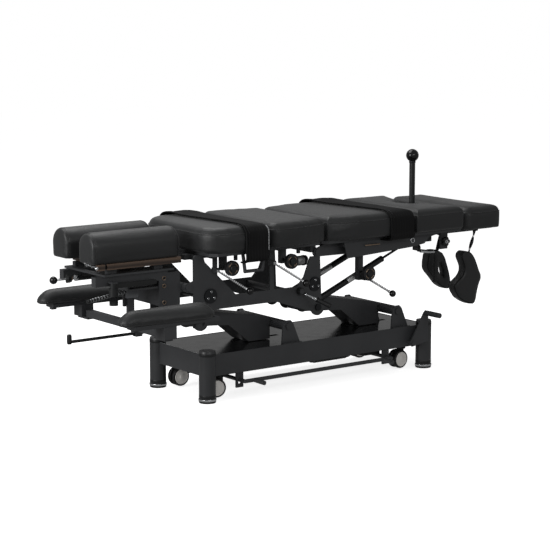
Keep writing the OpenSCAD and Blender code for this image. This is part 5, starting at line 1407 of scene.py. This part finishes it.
FLEX_ROOT, FLEX_REACH = (474, -163.8, 382), Vector((74, -88, -50)) * MM
FLEX_BANDS = ((0.1, 0.5, 5.4, chrome), (0.36, 0.49, 8.2, chrome), (0.5, 0.56, 10.2, phenolic))
flex = at(*FLEX_ROOT)
on_body(joined("flexion_collar", sleeves_along(flex, flex + FLEX_REACH, FLEX_BANDS)),
        "flexion_lever", "chrome")

STRUT_FOOT, STRUT_TIP, STRUT_Y, STRUT_R = (557, 314), (1080, 529), 100, 13
STRUT_BANDS = ((0.37, 0.51, STRUT_R + 0.35, aluminium),
               (0.715, 0.733, STRUT_R + 0.3, dark_steel))
strut_parts = []
for side in (-1, 1):
    foot_end, tip = (at(s, side * STRUT_Y, z) for s, z in (STRUT_FOOT, STRUT_TIP))
    strut_parts += sleeves_along(foot_end, tip, STRUT_BANDS, 40)
on_body(joined("strut_bands", strut_parts), "struts", "chrome")
print(len(strut_parts), "bands on the struts")

# %% Tiller and traction handle
TILLER_BALL_Z, TILLER_BALL_R, NECK_LOW = 883, 27, 5
NECK = [(0, 0), (14.2, 0), (14.2, 7), (13, 9), (0, 9)]
finish_where("tiller", phenolic, near_to(at(TILLER_S, 0, TILLER_BALL_Z), TILLER_BALL_R + 1))
neck = turned("tiller_neck", NECK, at(TILLER_S, 0, TILLER_BALL_Z - TILLER_BALL_R - NECK_LOW),
              (0, 0, 1), dark_steel, 40)
on_body(neck, "tiller", "chrome")

HANDLE_Y, HANDLE_ROOT, HANDLE_BEND = -120, (1127, 489), (1222, 476)
GRIP_LOW, GRIP_HIGH, GRIP_INSET, RING_FROM, RING_STEP = 352, 464, 4, 8, 6
GRIP_END = [(0, 0), (10.6, 0), (11, 3), (9, 8), (0, 8.5)]
GRIP_RING = [(10.2, 0), (10.7, 1), (10.7, 3), (10.2, 4)]
handle_parts = sleeves_along(*(at(s, HANDLE_Y, z) for s, z in (HANDLE_ROOT, HANDLE_BEND)),
                             ((0.08, 0.9, 6.5, chrome),))
handle_parts.append(turned("grip end", GRIP_END,
                           at(HANDLE_BEND[0], HANDLE_Y, GRIP_LOW + GRIP_INSET),
                           (0, 0, -1), rubber, 32))
handle_parts += [turned("grip ring", GRIP_RING, at(HANDLE_BEND[0], HANDLE_Y, z), (0, 0, 1),
                        rubber, 28)
                 for z in range(GRIP_LOW + RING_FROM, GRIP_HIGH, RING_STEP)]
on_body(joined("handle_grip", handle_parts), "traction_handle", "rubber")
print(len(handle_parts), "parts on the traction handle")

# %% [markdown]
# ## Knobs and screws of the head end
#
# The clamp knob has a bright stud, and the pull knob a chrome rod with a brass ring. The
# plates of the head frame are held by socket screws in brass rings. The clamp of the arm
# rests is a grey casting, with a threaded lever that ends in black plastic.

# %% Clamp knob, pull knob and plate screws
STUD = [(0, 0), (8, 0), (8, 2), (4.4, 2.6), (4.4, 8), (3.4, 9), (0, 9)]
STUD_AT = at(1228, -182, 528)
on_body(turned("clamp_stud", STUD, STUD_AT, (0, -1, 0), chrome, 24), "clamp_knob", "chrome")

PULL_Y, PULL_Z, PULL_BALL_S, PULL_BALL_R, PULL_CLEAR = 40, 506, -555, 15, 6
# First and last station, radius and finish of the rod, its ring and its bush
PULL_SLEEVES = ((-536, -452, 4.4, chrome), (-474, -468, 8, brass), (-457, -447, 11.6, chrome))
finish_where("pull_knob", phenolic,
             near_to(at(PULL_BALL_S, PULL_Y, PULL_Z), PULL_BALL_R + PULL_CLEAR))
pull_parts = [sleeve(at(first, PULL_Y, PULL_Z), at(last, PULL_Y, PULL_Z), radius, finish)
              for first, last, radius, finish in PULL_SLEEVES]
on_body(joined("pull_rod", pull_parts), "pull_knob", "chrome")

BRASS_RING = [(0, 0), (8.4, 0), (8.6, 1.4), (7.4, 2.4), (6, 2.2), (5.8, 1.2), (0, 1.2)]
SOCKET_HEAD = [(0, 1), (5.2, 1), (5.4, 3.6), (4.6, 4.2), (3, 4.2), (2.8, 2.4), (0, 2.4)]
PLATE_S, PLATE_Y, PLATE_HEIGHTS = -168, 133, (500, 470, 406)
plate_screws = []
for side in (-1, 1):
    for z in PLATE_HEIGHTS:
        place = at(PLATE_S, side * PLATE_Y, z)
        plate_screws.append(turned("ring", BRASS_RING, place, (0, side, 0), brass, 28))
        plate_screws.append(turned("socket", SOCKET_HEAD, place, (0, side, 0), dark_steel, 24))
on_body(joined("head_plate_screws", plate_screws), "head", "chrome")
print(len(plate_screws), "rings and screws on the head plates")

# %% Clamp of the arm rests and grip of the tilt rod
CLAMP_S, CLAMP_Y, CLAMP_Z, CLAMP_HALF, CLAMP_SLACK = -268, -50, (425, 462), 26, 1


def on_clamp(point):
    return abs(point.x - at(CLAMP_S, 0, 0).x) < CLAMP_HALF * MM and \
        abs(point.y - CLAMP_Y * MM) < CLAMP_HALF * MM and \
        (CLAMP_Z[0] - CLAMP_SLACK) * MM < point.z < (CLAMP_Z[1] + CLAMP_SLACK) * MM


finish_where("head_frame", cast_grey, on_clamp)
LEVER_ROOT, LEVER_TIP = at(-292, -60, 451), at(-455, -64, 431)
CLAMP_PIN = (at(-282, -46, 449), at(-292, -46, 449))
CLAMP_STEM = (at(-292, -46, 457), at(-292, -46, 392))
CAP_SHARE = 0.07
clamp_lever = [sleeve(LEVER_ROOT, LEVER_TIP, 6, abs_black),
               threaded(LEVER_ROOT, LEVER_TIP, 7.6, zinc, 12),
               sleeve(LEVER_TIP, LEVER_TIP.lerp(LEVER_ROOT, -CAP_SHARE), 8, abs_black),
               sleeve(*CLAMP_PIN, 4, chrome),
               sleeve(*CLAMP_STEM, 7.5, abs_black)]
on_body(joined("rest_clamp_lever", clamp_lever), "head", "black_plastic")

TILT_S, TILT_Y, TILT_LOW, TILT_HIGH = -567, -100, 285, 323
TILT_END = [(0, 0), (5, 0.6), (8, 2.6), (9.2, 6), (9.4, 10)]
tilt_outline = TILT_END + [(r, TILT_HIGH - TILT_LOW - z) for r, z in reversed(TILT_END)]
tilt_grip = turned("tilt_grip", tilt_outline, at(TILT_S, TILT_Y, TILT_LOW), (0, 0, 1), rubber, 28)
on_body(tilt_grip, "tilt_rod", "rubber")
print("clamp lever", round((LEVER_TIP - LEVER_ROOT).length / MM), "mm long")

# %% [markdown]
# ## Small parts under the cushions
#
# Between the wheels and the cheek lies a bare aluminium cylinder on two straps. A piping in
# a paler grey runs down the foot side of the chest strap, where the photograph shows a
# bright line. The pelvic strap ends in a steel ring, beside a slim brass rod.

# %% Cylinder, piping, ring and rod
CYLINDER_S, CYLINDER_Y, CYLINDER_Z, CYLINDER_R = (458, 545), -90, 500, 20
CLIP_IN, CLIP_HALF, CLIP_T = 12, 4, 1.5


def lengthwise(first, last, radius_mm, finish):
    return sleeve(at(first, CYLINDER_Y, CYLINDER_Z), at(last, CYLINDER_Y, CYLINDER_Z), radius_mm,
                  finish, 48)


cylinder = [lengthwise(*CYLINDER_S, CYLINDER_R, aluminium)]
cylinder += [lengthwise(s - CLIP_HALF, s + CLIP_HALF, CYLINDER_R + CLIP_T, dark_steel)
             for s in (CYLINDER_S[0] + CLIP_IN, CYLINDER_S[1] - CLIP_IN)]
on_body(joined("lumbar_cylinder", cylinder), "centre", "chrome")

PIPING_S, PIPING_R = 227.5, 1.3
# Way out from the cushion's side, and height
PIPING_PATH = [(6, 592), (6, 650), (5, 664), (-1, 676), (-14, 685)]
piping = tube("strap_piping", [at(PIPING_S, -HALF_W - out, z) for out, z in PIPING_PATH],
              PIPING_R, pale_piping_and_highlight)
on_body(piping, "chest", "webbing")

RING_S, RING_Y, RING_Z, RING_R, RING_WIRE_R = 978, -252, 562, 9, 1.8
ring_line = arc((RING_S, RING_Z), RING_R, 0, 345, 23)
strap_ring = tube("strap_ring", [at(s, RING_Y, z) for s, z in ring_line], RING_WIRE_R, chrome,
                  closed=True)
on_body(strap_ring, "pelvic", "chrome")

CARRY_S, CARRY_Y, CARRY_Z, CARRY_R = (755, 832), -215, 556, 2.6
brass_rod = sleeve(at(CARRY_S[0], CARRY_Y, CARRY_Z), at(CARRY_S[1], CARRY_Y, CARRY_Z), CARRY_R,
                   brass)
on_body(brass_rod, "pelvic", "chrome")
print("cylinder", CYLINDER_S[1] - CYLINDER_S[0], "mm long, ring", 2 * RING_R, "mm across")

# %% [markdown]
# ## Lines on the base
#
# Each post has a groove under its cap and one over its foot, drawn as black bands whose black
# is painted shade, and the head end of the deck has a thin bright edge, drawn as a pale tube
# that is a painted highlight. Lines as fine as these tell the eye how big the table is.

# %% Painted groove shade on the posts and painted highlight on the deck edge
GROOVE_SHADE_BAND = [(33.1, 0), (33.4, 0.6), (33.4, 11.4), (33.1, 12)]
GROOVE_HEIGHTS = (184, 20)
# Black bands a little proud of each post, where each groove is: painted shade, not a cut groove
groove_shade_bands = [turned("groove", GROOVE_SHADE_BAND, at(s, side * POST_Y, z), (0, 0, 1), abs_black, 56)
           for s in (0, POST_PITCH) for side in (-1, 1) for z in GROOVE_HEIGHTS]
on_body(joined("post_groove_shade_bands", groove_shade_bands), "base", "black_plastic")

DECK_END, DECK_Z, DECK_Y, DECK_HIGHLIGHT_R = -7.5, 186.6, 150, 0.8
# A pale tube along the head edge of the deck: a painted highlight
deck_edge_highlight = tube("deck_edge_highlight", [at(DECK_END, -DECK_Y, DECK_Z), at(DECK_END, DECK_Y, DECK_Z)],
                 DECK_HIGHLIGHT_R, pale_piping_and_highlight)
on_body(deck_edge_highlight, "base", "frame_paint")
print(len(groove_shade_bands), "grooves on the posts")
